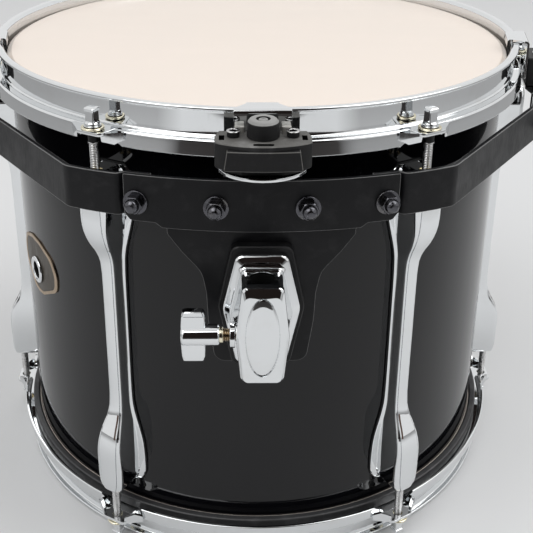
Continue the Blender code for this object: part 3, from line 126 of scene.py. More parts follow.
def turned(profile, steps=48, place=None):
    """Spin a profile of (radius, height) points about Z; it is a ring, or starts and ends on the axis."""
    piece = loop([(radius, 0.0, height) for radius, height in profile])
    edit(piece)
    if profile[0][0] == 0 and profile[-1][0] == 0:
        bpy.ops.mesh.select_all(action="DESELECT")
        bpy.ops.object.mode_set(mode="OBJECT")
        for edge in piece.data.edges:
            edge.select = set(edge.vertices) == {0, len(profile) - 1}
        bpy.ops.object.mode_set(mode="EDIT")
        bpy.ops.mesh.select_mode(type="EDGE")
        bpy.ops.mesh.delete(type="EDGE")
        bpy.ops.mesh.select_mode(type="VERT")
        bpy.ops.mesh.select_all(action="SELECT")
    bpy.ops.mesh.spin(steps=steps, angle=2 * math.pi, center=(0, 0, 0), axis=(0, 0, 1))
    close_edit()
    if place:
        piece.data.transform(place)
    return piece


def lathe(corners, radius=0.0, arcs=3, steps=48, place=None):
    """Spin an outline of (radius, height) corners about Z, once its corners are rounded."""
    return turned(rounded(corners, radius, arcs), steps, place)


def flat_ring(inner, outer, low, high, radius, arcs, steps, place=None):
    """A washer or sleeve about Z, with rounded edges."""
    return lathe([(inner, low), (outer, low), (outer, high), (inner, high)], radius, arcs, steps, place)


def cylinder(radius, low, high, steps, place=None):
    """A plain cylinder about Z, as a drill leaves it."""
    return turned([(0, low), (radius, low), (radius, high), (0, high)], steps, place)


def hull(points):
    """The convex hull of a few points."""
    piece = loop(points)
    edit(piece)
    bpy.ops.mesh.convex_hull()
    close_edit()
    return piece


def slab(outline, low, high, place=None):
    """Extrude a filled outline of (x, y) points from one height to another."""
    piece = loop([(x, y, low) for x, y in outline], "NGON")
    edit(piece)
    bpy.ops.mesh.extrude_region_move(TRANSFORM_OT_translate={"value": (0, 0, high - low)})
    close_edit()
    if place:
        piece.data.transform(place)
    return piece


def skinned(rings):
    """Wrap a grid round closed rings of equally many points, and close both ends."""
    across = len(rings[0])
    bpy.ops.object.select_all(action="DESELECT")
    bpy.ops.mesh.primitive_grid_add(x_subdivisions=across, y_subdivisions=len(rings) - 1, size=1.0)
    piece = bpy.context.object
    places = [ring[number % across] for ring in rings for number in range(across + 1)]
    for vert, point in zip(piece.data.vertices, places):
        vert.co = point
    edit(piece)
    bpy.ops.mesh.remove_doubles(threshold=0.002)
    bpy.ops.mesh.select_all(action="DESELECT")
    bpy.ops.mesh.select_non_manifold()
    bpy.ops.mesh.fill_holes(sides=0)
    close_edit()
    return piece


def rounded(corners, radius=0.0, steps=4):
    """Round the corners of an outline; a corner's own third number takes the place of the radius."""
    points = []
    for number, corner in enumerate(corners):
        here = Vector(corner[:2])
        back = Vector(corners[number - 1][:2]) - here
        onward = Vector(corners[(number + 1) % len(corners)][:2]) - here
        own = corner[2] if len(corner) > 2 else radius
        angle = back.angle(onward)
        reach = min(own / math.tan(angle / 2), 0.49 * back.length, 0.49 * onward.length)
        if reach < 0.01:
            points.append(tuple(here))
            continue
        first, last = here + back.normalized() * reach, here + onward.normalized() * reach
        weight = math.sin(angle / 2)
        for step in range(steps + 1):
            share = step / steps
            parts = ((1 - share) ** 2, 2 * weight * share * (1 - share), share ** 2)
            points.append(tuple((first * parts[0] + here * parts[1] + last * parts[2]) / sum(parts)))
    return points


def rectangle(left, right, front, back):
    """The corners of a rectangle in plan."""
    return [(left, front), (right, front), (right, back), (left, back)]


def both_sides(half):
    """Complete an outline drawn on +X, from one end of the middle line to the other, by its mirror."""
    return list(half) + [(-point[0], *point[1:]) for point in reversed(half)]


def cut(piece, *tools, operation="DIFFERENCE"):
    """Apply Boolean tools to a piece and remove them."""
    for tool in tools:
        only(piece)
        modifier = piece.modifiers.new("cut", "BOOLEAN")
        modifier.operation = operation
        modifier.solver = "EXACT"
        modifier.object = tool
        bpy.ops.object.modifier_apply(modifier=modifier.name)
        bpy.data.objects.remove(tool)
    return piece


def fuse(piece, *tools):
    """Unite pieces with the first."""
    return cut(piece, *tools, operation="UNION")


def soften(piece, width, segments=2, angle=40, material=-1):
    """Round the sharp edges of a piece, in one of its materials if asked."""
    only(piece)
    modifier = piece.modifiers.new("soften", "BEVEL")
    modifier.width = width
    modifier.segments = segments
    modifier.limit_method = "ANGLE"
    modifier.angle_limit = math.radians(angle)
    modifier.use_clamp_overlap = True
    modifier.material = material
    bpy.ops.object.modifier_apply(modifier=modifier.name)
    return piece


def joined(first, *others):
    """Join pieces, keeping each one's material."""
    only(first)
    for other in others:
        other.select_set(True)
    bpy.ops.object.join()
    return first


def painted(piece, *names):
    """Give a piece its materials by name."""
    piece.data.materials.clear()
    for name in names:
        piece.data.materials.append(bpy.data.materials[name])
    return piece


def copied(piece, name):
    """A copy of a piece with its own mesh."""
    only(piece)
    bpy.ops.object.duplicate()
    twin = bpy.context.object
    twin.name = name
    return twin


def discard(*pieces):
    """Remove patterns once their copies are set down."""
    for piece in pieces:
        bpy.data.objects.remove(piece)


def mirrored(piece):
    """Mirror a piece to the other side of X and turn its faces out again."""
    piece.data.transform(Matrix.Scale(-1, 4, (1, 0, 0)))
    piece.data.flip_normals()
    return piece


def set_down(piece, name, body, nodes, azimuth=0.0, place=Matrix(), smooth=32):
    """Turn and move a finished piece to its place in metres, join it to its body and hide the frame's parts
    that it stands for.
    """
    to_frame = Matrix.Translation((0, AXIS_Y, 0)) @ Matrix.Scale(MM, 4)
    piece.data.transform(to_frame @ at(azimuth) @ place)
    piece.name = name
    piece.data.name = name
    only(piece)
    bpy.ops.object.shade_smooth_by_angle(angle=math.radians(smooth))
    modifier = piece.modifiers.new("normals", "WEIGHTED_NORMAL")
    modifier.keep_sharp = True
    modifier.weight = 100
    bpy.ops.object.modifier_apply(modifier=modifier.name)
    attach(piece, body)
    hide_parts(*nodes)
    return piece


def upside_down():
    """The turn that takes a piece of the batter side to the resonant side."""
    return Matrix.Translation((0, 0, HEIGHT)) @ Matrix.Rotation(math.pi, 4, "X")


def node(tree, kind, links=None, **settings):
    """Add a shader node; links gives each input a value or another node's output."""
    made = tree.nodes.new(kind)
    for key, value in settings.items():
        setattr(made, key, value)
    for socket, value in (links or {}).items():
        if isinstance(value, bpy.types.NodeSocket):
            tree.links.new(value, made.inputs[socket])
        else:
            made.inputs[socket].default_value = value
    return made


def maths(tree, operation, *values):
    """The result of a Math node over numbers or sockets."""
    return node(tree, "ShaderNodeMath", dict(enumerate(values)), operation=operation).outputs[0]


def blend(tree, share, first, second):
    """A colour between two, by a share."""
    return node(tree, "ShaderNodeMix", {"Factor": share, 6: first, 7: second}, data_type="RGBA").outputs[2]


def effect(name, inputs, outputs):
    """Start a shader node group with named inputs, given as defaults, and named outputs."""
    tree = bpy.data.node_groups.new(name, "ShaderNodeTree")
    for label, value in inputs.items():
        kind = "NodeSocketColor" if isinstance(value, tuple) else "NodeSocketFloat"
        tree.interface.new_socket(label, in_out="INPUT", socket_type=kind).default_value = value
    for label, kind in outputs.items():
        tree.interface.new_socket(label, in_out="OUTPUT", socket_type=kind)
    entry = tree.nodes.new("NodeGroupInput")
    leave = tree.nodes.new("NodeGroupOutput")
    return tree, entry, leave


def noise(tree, scale, detail=3.0, stretch=(1, 1, 1), roughness=0.5, distortion=0.0):
    """Noise over Object coordinates in metres; scale may be a socket."""
    where = node(tree, "ShaderNodeTexCoord")
    spread = node(tree, "ShaderNodeMapping", {"Vector": where.outputs["Object"], "Scale": stretch})
    return node(tree, "ShaderNodeTexNoise", {
        "Vector": spread.outputs["Vector"], "Scale": scale, "Detail": detail, "Roughness": roughness,
        "Distortion": distortion})


def ranged(tree, value, low, high, to_low=0.0, to_high=1.0):
    """Map a value from one range onto another, held at its ends."""
    return node(tree, "ShaderNodeMapRange", {
        "Value": value, "From Min": low, "From Max": high,
        "To Min": to_low, "To Max": to_high}).outputs["Result"]


def add_effects():
    """The node groups that the finishes share."""
    tree, entry, leave = effect("Handling marks", {"Scale": 60.0, "Low": 0.06, "High": 0.14}, {
        "Roughness": "NodeSocketFloat", "Mask": "NodeSocketFloat"})
    cloud = noise(tree, entry.outputs["Scale"], 5.0)
    fine = noise(tree, 900.0, 2.0, (1, 1, 0.15))
    mask = ranged(tree, maths(tree, "ADD", cloud.outputs["Fac"], fine.outputs["Fac"]), 0.8, 1.25)
    spread = ranged(tree, mask, 0.0, 1.0, entry.outputs["Low"], entry.outputs["High"])
    tree.links.new(spread, leave.inputs["Roughness"])
    tree.links.new(mask, leave.inputs["Mask"])

    tree, entry, leave = effect("Tarnish", {
        "Metal": (0.8, 0.8, 0.8, 1.0), "Stain": (0.4, 0.3, 0.2, 1.0), "Amount": 0.3, "Scale": 45.0}, {
        "Color": "NodeSocketColor"})
    spots = noise(tree, entry.outputs["Scale"], 8.0, roughness=0.65, distortion=0.4)
    mask = ranged(tree, spots.outputs["Fac"], 0.52, 0.75)
    share = maths(tree, "MULTIPLY", mask, entry.outputs["Amount"])
    tree.links.new(blend(tree, share, entry.outputs["Metal"], entry.outputs["Stain"]), leave.inputs["Color"])

    tree, entry, leave = effect("Fine grain", {"Scale": 2500.0}, {"Height": "NodeSocketFloat"})
    grain = noise(tree, entry.outputs["Scale"], 2.0)
    tree.links.new(grain.outputs["Fac"], leave.inputs["Height"])

    tree, entry, leave = effect("Wood figure", {
        "Pale": (0.86, 0.72, 0.6, 1.0), "Deep": (0.7, 0.52, 0.38, 1.0)}, {
        "Color": "NodeSocketColor", "Height": "NodeSocketFloat"})
    streak = noise(tree, 26.0, 6.0, (1, 1, 0.08), 0.6, 0.3)
    pores = noise(tree, 500.0, 2.0, (1, 1, 0.03))
    both = node(tree, "ShaderNodeMix", {"Factor": 0.35, 2: streak.outputs["Fac"], 3: pores.outputs["Fac"]})
    mask = ranged(tree, both.outputs[0], 0.3, 0.7)
    tree.links.new(blend(tree, mask, entry.outputs["Pale"], entry.outputs["Deep"]), leave.inputs["Color"])
    tree.links.new(pores.outputs["Fac"], leave.inputs["Height"])

    tree, entry, leave = effect("Screw thread", {"Pitch": 1.0}, {"Height": "NodeSocketFloat"})
    where = node(tree, "ShaderNodeTexCoord")
    split = node(tree, "ShaderNodeSeparateXYZ", {0: where.outputs["Object"]})
    turns = maths(tree, "MULTIPLY", split.outputs["Z"], 2 * math.pi / MM)
    phase = maths(tree, "DIVIDE", turns, entry.outputs["Pitch"])
    tree.links.new(maths(tree, "SINE", phase), leave.inputs["Height"])


def finish_of(name, color, roughness, metallic=0.0, **shader_values):
    """Start a material with a Principled shader, and give back its tree and shader."""
    material = bpy.data.materials.new(name)
    material.use_nodes = True
    tree = material.node_tree
    shader = tree.nodes["Principled BSDF"]
    shader.inputs["Base Color"].default_value = (*color, 1.0)
    shader.inputs["Roughness"].default_value = roughness
    shader.inputs["Metallic"].default_value = metallic
    for socket, value in shader_values.items():
        shader.inputs[socket.replace("_", " ")].default_value = value
    return tree, shader


def use(tree, name, **values):
    """Place a shared effect in a material with its own values."""
    made = tree.nodes.new("ShaderNodeGroup")
    made.node_tree = bpy.data.node_groups[name]
    for socket, value in values.items():
        made.inputs[socket].default_value = value
    return made


def worn(tree, shader, scale, rough):
    """Let handling marks vary a shader's roughness between two values."""
    wear = use(tree, "Handling marks", Scale=scale, Low=rough[0], High=rough[1])
    tree.links.new(wear.outputs["Roughness"], shader.inputs["Roughness"])


def bumped(tree, shader, height, distance, strength=1.0):
    """Give a shader a bump, with its distance in metres."""
    bump = node(tree, "ShaderNodeBump", {"Height": height, "Distance": distance, "Strength": strength})
    tree.links.new(bump.outputs["Normal"], shader.inputs["Normal"])


def metal(name, color, stain, amount, rough, marks=60.0, thread=0.0):
    """A plated metal with handling marks, faint stains and, if asked, a screw thread."""
    tree, shader = finish_of(name, color, rough[0], 1.0)
    look = use(tree, "Tarnish", Metal=(*color, 1.0), Stain=(*stain, 1.0), Amount=amount)
    tree.links.new(look.outputs["Color"], shader.inputs["Base Color"])
    worn(tree, shader, marks, rough)
    if thread:
        turns = use(tree, "Screw thread", Pitch=thread)
        bumped(tree, shader, turns.outputs["Height"], 0.00012)
    else:
        wave = noise(tree, 14.0, 1.0)
        bumped(tree, shader, wave.outputs["Fac"], 0.0006, 0.25)


def moulded(name, color, rough, scale, distance, dust=0.1, gloss=0.5):
    """A moulded, painted or rubber surface with a fine grain and pale dust."""
    tree, shader = finish_of(name, color, rough[0], Specular_IOR_Level=gloss)
    worn(tree, shader, 80.0, rough)
    pale = tuple(value + dust * (0.5 - value) for value in color)
    look = use(tree, "Tarnish", Metal=(*color, 1.0), Stain=(*pale, 1.0), Amount=1.0, Scale=70.0)
    tree.links.new(look.outputs["Color"], shader.inputs["Base Color"])
    grain = use(tree, "Fine grain", Scale=scale)
    bumped(tree, shader, grain.outputs["Height"], distance, 0.6)


def add_finishes(looks):
    """Every finish of the drum."""
    add_effects()
    tree, shader = finish_of("Black lacquer", looks.lacquer, 0.05, Specular_IOR_Level=0.34)
    worn(tree, shader, 30.0, (0.03, 0.09))
    peel = noise(tree, 420.0, 1.0)
    bumped(tree, shader, peel.outputs["Fac"], 0.00003, 0.3)

    tree, shader = finish_of("Inner maple", looks.wood, 0.45)
    deep = [value * 0.86 for value in looks.wood]
    wood = use(tree, "Wood figure", Pale=(*looks.wood, 1.0), Deep=(*deep, 1.0))
    tree.links.new(wood.outputs["Color"], shader.inputs["Base Color"])
    bumped(tree, shader, wood.outputs["Height"], 0.00005, 0.4)

    # The film's pale peach colour and its density are painted light: they stand for the lit maple seen
    # through the clear film.
    tree, shader = finish_of("Clear film", looks.film, 0.12, Alpha=looks.film_alpha)
    worn(tree, shader, 24.0, (0.08, 0.2))
    crease = noise(tree, 5.0, 2.0, (1, 2.5, 1))
    bumped(tree, shader, crease.outputs["Fac"], 0.0012, 0.3)

    metal("Chrome", looks.chrome, (0.45, 0.4, 0.34), 0.12, (0.02, 0.06))
    metal("Rod steel", (0.62, 0.62, 0.62), (0.3, 0.25, 0.2), 0.4, (0.14, 0.32), 200.0)
    metal("Rod thread", (0.7, 0.7, 0.7), (0.3, 0.25, 0.2), 0.5, (0.2, 0.4), 200.0, 1.058)
    metal("Bolt thread", (0.36, 0.29, 0.2), (0.3, 0.22, 0.12), 0.6, (0.2, 0.35), 200.0)
    metal("Cast zinc", (0.8, 0.79, 0.75), (0.5, 0.45, 0.38), 0.4, (0.4, 0.6), 150.0)
    metal("Brass", (0.75, 0.62, 0.36), (0.35, 0.25, 0.12), 0.6, (0.15, 0.3), 180.0)
    metal("Washer cream", (0.86, 0.8, 0.62), (0.5, 0.4, 0.25), 0.5, (0.12, 0.28), 180.0)
    metal("Dark nickel", (0.1, 0.1, 0.11), (0.4, 0.38, 0.34), 0.45, (0.16, 0.32), 220.0)
    metal("Bronze", (0.42, 0.33, 0.24), (0.2, 0.15, 0.1), 0.7, (0.3, 0.5), 160.0)
    metal("Old steel", (0.4, 0.36, 0.32), (0.28, 0.12, 0.06), 0.9, (0.25, 0.5), 120.0)
    moulded("Band paint", looks.band, (0.36, 0.48), 2600.0, 0.00004, 0.02, 0.24)
    # Edge wear and highlight: rubbed paint on the band's bevels, lightened further as a painted highlight.
    moulded("Edge wear and highlight", (0.12, 0.12, 0.12), (0.25, 0.4), 2600.0, 0.00003, 0.2, 0.6)
    moulded("Moulding", (0.009, 0.009, 0.0095), (0.42, 0.6), 1800.0, 0.00006, 0.03, 0.25)
    # Dust and sheen moulding: pale dust on the tops, and on rounded edges also a painted highlight.
    moulded("Dust and sheen moulding", (0.085, 0.083, 0.078), (0.5, 0.7), 1800.0, 0.00006, 0.22)
    moulded("Knob rubber", (0.007, 0.007, 0.0075), (0.5, 0.7), 1500.0, 0.00005, 0.02, 0.25)
    moulded("Knob crown", (0.24, 0.24, 0.235), (0.5, 0.7), 1500.0, 0.00005, 0.25)
    moulded("Gasket rubber", (0.004, 0.004, 0.0045), (0.35, 0.5), 1500.0, 0.00004, 0.02, 0.25)
    moulded("Ring coating", (0.035, 0.035, 0.037), (0.3, 0.5), 1500.0, 0.00004, 0.1)
    moulded("Enamel field", (0.06, 0.052, 0.042), (0.35, 0.5), 900.0, 0.00003, 0.06, 0.2)
    # Slot shade: painted shade of the lugs' slots, tinted rust brown.
    moulded("Slot shade", (0.07, 0.035, 0.022), (0.5, 0.7), 700.0, 0.0001, 0.1)
    # Hollow shade: near-black painted shade inside holes, bores and wells.
    moulded("Hollow shade", (0.004, 0.004, 0.004), (0.6, 0.8), 900.0, 0.0001, 0.0, 0.1)


def band_y(x, depth=0.0):
    """The y of the band's outer face at an x, or of a face a depth behind it."""
    radius = BAND_RADIUS - depth
    return BAND_RADIUS - BAND_FRONT - math.sqrt(radius ** 2 - x ** 2)


def band_frame(x, z, depth=0.0):
    """A frame on the band's outer face whose Z points straight out of it."""
    centre = BAND_RADIUS - BAND_FRONT
    return towards((x, band_y(x, depth), z), (x, band_y(x, depth) - centre, 0))


def build_shell():
    """The tube: bearing edges, lacquer outside, bare wood inside, and the bore of the air vent."""
    low, high, crest, inner = 8.6, 313.4, SHELL - 2.4, SHELL - 7.0
    tube = lathe([(inner, low + 5, 1), (crest, low, 0.8), (SHELL, low + 2.2, 1.5), (SHELL, high - 2.2, 1.5),
                  (crest, high, 0.8), (inner, high - 5, 1)], 0, 3, ROUND)
    cut(tube, cylinder(VENT_BORE, 165, 182, 32, at(BADGE_AZIMUTH) @ towards((0, 0, VENT_Z), FRONT)))
    painted(tube, "Black lacquer", "Inner maple")
    for face in tube.data.polygons:
        away = math.hypot(face.center.x, face.center.y)
        face.material_index = 0 if away > SHELL - 0.7 else 1
    set_down(tube, "drum_shell", "drum", ["shell"])


def hoop_profile():
    """The section of a triple-flanged hoop: radius, and depth below the rim."""
    corners = [
        (HOOP_IN, 20.3, 0.6), (HOOP_IN, 0, 2.6), (186.5, 0, 0.9), (186.5, 2.3, 0.8), (HOOP_OUT, 2.5, 1.4),
        (HOOP_OUT, 4.5, 0), (HOOP_OUT, 14.5, 0), (HOOP_OUT, 18, 3.0), (SKIRT - 1.2, 18, 2.4),
        (SKIRT - 0.8, 21, 0), (SKIRT, 27.9, 0.7), (SKIRT - 2.3, 27.9, 0.7), (SKIRT - 3.3, 20.3, 0.8)]
    return rounded(corners, 0, 5)


def build_hoops():
    """Both hoops, each with an ear, a rod hole and a notch in the skirt at every lug."""
    ring = turned([(radius, HEIGHT - depth) for radius, depth in hoop_profile()], ROUND)
    top, low = HEIGHT - 18.0, HEIGHT - 20.3
    ear = rounded(both_sides([(11.5, -185), (10.6, -193, 6), (9.6, -EAR, 6.5)]), 0, 6)
    notch = ((0.05, 9.0), (1.5, 9.2), (3.2, 10.3), (4.8, 12.6), (6.2, 15.4), (7.2, 16.8), (9, 17.4))
    gusset = (
        (8.2, 198.6, 0.4), (18.6, 190.5, 0.4), (18.6, 190.6, 5.0), (14.4, 193.9, 7.4), (8.8, 198.1, 5.4),
        (8.2, 196.4, 0.4), (17.4, 188.8, 0.4), (17.4, 189.0, 5.0), (13.6, 192.0, 7.4), (8.4, 196.0, 5.4))
    web = ((7.4, 198.2), (18.2, 190.2), (17.0, 187.4), (7.4, 187.4))
    for azimuth in AZIMUTHS:
        turn = at(azimuth)
        plate = soften(slab(ear, low + 0.02, top - 0.02, turn), 0.5, 2)
        rings = []
        for drop, half in notch:
            corners = ((half, -184.0), (half, -194.0), (-half, -194.0), (-half, -184.0))
            rings.append([turn @ Vector((x, y, low - drop)) for x, y in corners])
        cut(ring, skinned(rings))
        fuse(ring, plate)
        for side in (-1, 1):
            fuse(ring, hull([turn @ Vector((side * x, -radius, top - drop)) for x, radius, drop in gusset]))
            fuse(ring, slab([(side * x, -radius) for x, radius in web], top - 1.6, top - 0.5, turn))
        cut(ring, cylinder(3.4, low - 1, top + 1, 24, turn @ AT_ROD))
    painted(ring, "Chrome")
    other = copied(ring, "bottom_hoop")
    other.data.transform(upside_down())
    set_down(ring, "top_hoop", "drum", ["batter_hoop"])
    set_down(other, "bottom_hoop", "drum", ["resonant_hoop"])


def build_heads(thickness):
    """Clear films of a thickness with their collars, and the flesh hoops that hold their edges."""
    crest, collar = SHELL - 2.4, SHELL + 0.3
    section = [
        (0, FILM_TOP), (crest, FILM_TOP, 1.0), (collar + 0.5, FILM_TOP - 1.6, 0.8), (collar + 0.5, 295),
        (collar, 295), (collar, FILM_TOP - thickness - 1.5, 0.8), (crest, FILM_TOP - thickness, 1.0),
        (0, FILM_TOP - thickness)]
    film = painted(lathe(section, 0, 3, ROUND), "Clear film")
    ring = painted(flat_ring(179.3, 184.2, 301.2, 293.6, 1.2, 4, ROUND), "Ring coating")
    films, rings = copied(film, "bottom_film"), copied(ring, "bottom_ring")
    for piece in (films, rings):
        piece.data.transform(upside_down())
    set_down(film, "top_film", "drum", ["batter_head"])
    set_down(films, "bottom_film", "drum", ["resonant_head"])
    set_down(ring, "top_ring", "drum", ["batter_flesh_hoop"])
    set_down(rings, "bottom_ring", "drum", ["resonant_flesh_hoop"])


def square(half, radius):
    """A square outline with rounded corners."""
    return rounded([(half, -half), (half, half), (-half, half), (-half, -half)], radius, 3)


def rod(shadow_sleeve):
    """One tension rod about its own axis from the ear up, with its washers and, on top, a near-black sleeve
    under the ear that paints the ear's shadow.
    """
    section = [(0, -52), (1.7, -52), (2.7, -50.6), (2.7, -9), (2.45, -8.6), (2.45, 2), (0, 2)]
    thread = painted(lathe(section, 0.1, 2, 24), "Rod steel", "Rod thread")
    for face in thread.data.polygons:
        face.material_index = 1 if face.center.z < (-9 if shadow_sleeve else -3) else 0
    parts = [
        painted(flat_ring(2.9, 6.9, 0, 1.4, 0.6, 3, 40), "Washer cream"),
        painted(flat_ring(2.9, 5.2, 1.4, 1.7, 0.05, 1, 36), "Gasket rubber"),
        painted(flat_ring(2.9, 5.2, 1.7, 2.2, 0.2, 3, 36), "Chrome")]
    collar = lathe([(0, 2.2), (4.6, 2.2, 0.5), (4.5, 3.5, 0.5), (3.6, 4.4, 0.8), (0, 4.4)], 0, 4, 36)
    key = []
    for height, half, radius in (
            (3.4, 3.6, 1.6), (5.0, 2.95, 0.6), (10.4, 2.85, 0.5), (10.7, 3.25, 0.7), (12.2, 3.35, 0.7),
            (12.8, 3.0, 0.8), (13.2, 2.2, 0.8)):
        key.append([(x, y, height) for x, y in square(half, radius)])
    parts.append(painted(fuse(collar, skinned(key)), "Chrome"))
    # The near-black sleeve under the ear is a painted shadow of the ear over the plain rod, with a steel ring
    # below it.
    if shadow_sleeve:
        parts.append(painted(flat_ring(2.5, 3.1, -7.9, -0.4, 0.2, 2, 28), "Gasket rubber"))
        parts.append(painted(flat_ring(2.5, 3.3, -8.9, -7.9, 0.25, 2, 28), "Rod steel"))
    return joined(thread, *parts)


def build_rods():
    """Twelve tension rods, one at every lug on each side, each turning on its own body."""
    patterns = {"batter": rod(True), "resonant": rod(False)}
    sides = (("batter", "top", HEIGHT - ROD_SEAT, Matrix()),
             ("resonant", "bottom", ROD_SEAT, Matrix.Rotation(math.pi, 4, "Y")))
    for number, azimuth in enumerate(AZIMUTHS, start=1):
        for side, name, height, flip in sides:
            piece = copied(patterns[side], "rod")
            place = Matrix.Translation((0, -ROD_CIRCLE, height)) @ flip
            body = f"{side}_rod_{number}"
            set_down(piece, f"{name}_rod_{number}", body, [body], azimuth, place)
    discard(*patterns.values())


# Distance from the lug's end, half width of the foot, half width of the face, radius of the face.
LUG_STATIONS = (
    (0, 8.4, 4.6, 199.0), (0.8, 10.2, 6.2, 200.3), (3, 12.4, 8.0, 201.2), (8, 14.2, 9.2, 201.5),
    (20, 14.3, 9.6, 201.5), (32, 13.5, 9.2, 201.5), (40, 11.9, 8.5, 200.4), (48, 9.8, 7.4, 197.4),
    (56, 7.8, 5.9, 193.2), (64, 6.6, 5.0, 190.6), (80, 6.2, 4.75, 190.0), (117, 6.2, 4.75, 190.0))


def smooth_value(table, column, place):
    """A value between the rows of a table, along a smooth curve through them."""
    keys = [row[0] for row in table]
    values = [row[column] for row in table]
    slopes = []
    for number in range(len(keys)):
        before, after = max(0, number - 1), min(len(keys) - 1, number + 1)
        slopes.append((values[after] - values[before]) / (keys[after] - keys[before]))
    number = max(index for index in range(len(keys) - 1) if keys[index] <= place + 1e-9)
    span = keys[number + 1] - keys[number]
    share = (place - keys[number]) / span
    start, end = values[number], values[number + 1]
    first, last = slopes[number] * span, slopes[number + 1] * span
    fall = 2 * share ** 3 - 3 * share ** 2 + 1
    leaving, arriving = share ** 3 - 2 * share ** 2 + share, share ** 3 - share ** 2
    return fall * start + leaving * first + (1 - fall) * end + arriving * last


def lug_ring(inset, height):
    """The closed section of the lug at a distance from its end."""
    foot, face, front = [smooth_value(LUG_STATIONS, column, inset) for column in (1, 2, 3)]
    base = 179.0
    facet = 1.0 + 2.1 * min(1.0, max(0.0, (50 - inset) / 30)) * min(1.0, inset / 4 + 0.3)
    drop = 0.3 + 0.5 * facet
    flat = face - facet
    half = [
        (foot, base), (foot, base + 0.7), (foot - 0.4, base + 1.1),
        (min(foot - 0.8, face + 0.9), base + 1.5), (face + 0.4, base + 2.2), (face + 0.36, base + 3.0),
        (face + 0.12, front - drop - 2.4), (face + 0.1, front - drop - 1.4), (face - 0.1, front - drop - 0.5),
        (face - 0.4, front - drop - 0.1), (flat + 0.1, front - 0.75), (flat, front - 1.0),
        (flat - 0.25, front - 1.0), (flat - 0.3, front - 0.35), (0.93 * flat - 0.3, front - 0.3),
        (0.6 * flat, front - 0.14), (0.3 * flat, front - 0.04)]
    points = [(x, -radius) for x, radius in half] + [(0, -front)]
    points += [(-x, -radius) for x, radius in reversed(half)] + [(0, -base - 0.1)]
    ring = []
    for x, y in points:
        near = y if y < -base - 3 else -math.sqrt(max(0.0, y * y - x * x))
        ring.append((x, near, height))
    return ring


def lug():
    """One lug at the front, with its bores, a dark strip of painted slot shade, swivel nuts, gasket and inner
    screws.
    """
    insets = [0, 0.35, 0.8, 1.6, 3, 5, *range(8, 44, 4), *range(44, 61, 2), 64, 72, 80, 98, 117]
    rings = [lug_ring(inset, 44 + inset) for inset in insets]
    rings += [lug_ring(inset, 278 - inset) for inset in reversed(insets[:-1])]
    casting = skinned(rings)
    for low, high in ((40, 49.5), (272.5, 282)):
        cut(casting, cylinder(4.6, low, high, 32, AT_ROD))
    # A thin dark strip that stands just proud of the face, not a cut: painted shade of a slot, tinted rust
    # brown.
    rings = []
    for height in (88, 90, 92, 94, 96, 98, 100, 102.8):
        face = smooth_value(LUG_STATIONS, 3, height - 44) - 0.12
        middle = 4.9 - 0.0946 * (height - 88)
        rings.append([(x, y, height) for x, y in rectangle(middle - 0.6, middle + 0.6, 1 - face, -face)])
    painted(casting, "Chrome")
    parts = [painted(skinned(rings), "Slot shade")]
    for low, high in ((44.6, 49.3), (272.7, 277.4)):
        parts.append(painted(flat_ring(2.95, 4.4, low, high, 0.4, 2, 32, AT_ROD), "Brass"))
    rings = []
    for inset, height in [(inset, 44 + inset) for inset in insets[::2]] + [
            (inset, 278 - inset) for inset in reversed(insets[:-1:2])]:
        half = smooth_value(LUG_STATIONS, 1, inset) + 0.7
        if inset == 0:
            height += math.copysign(0.7, height - 161)
        rows = [(half, 178.1), (half, 178.95), (0, 178.95), (-half, 178.95), (-half, 178.1), (0, 178.1)]
        rings.append([(x, -math.sqrt(r * r - x * x), height) for x, r in rows])
    parts.append(painted(skinned(rings), "Gasket rubber"))
    for height in (50.5, 95, 227, 271.5):
        inside = towards((0, -170.9, height), (0, 1, 0))
        washer = flat_ring(2.3, 6.6, 0, 1.1, 0.3, 2, 28, inside)
        head = lathe([(0, 1.0), (4.5, 1.0), (4.2, 2.6), (2.6, 3.7), (0, 3.9)], 0.8, 3, 28, inside)
        for turn in (0, 90):
            blade = slab([(2.6, 0.45), (-2.6, 0.45), (-2.6, -0.45), (2.6, -0.45)], 2.9, 5,
                         inside @ Matrix.Rotation(math.radians(turn), 4, "Z"))
            cut(head, blade)
        parts += [painted(washer, "Chrome"), painted(head, "Old steel")]
    return joined(casting, *parts)


def build_lugs():
    """Six full-length lugs."""
    pattern = lug()
    for number, azimuth in enumerate(AZIMUTHS, start=1):
        piece = copied(pattern, "lug")
        if azimuth < 180:
            mirrored(piece)
        set_down(piece, f"full_lug_{number}", "drum", [f"lug_{number}"], azimuth, smooth=24)
    discard(pattern)


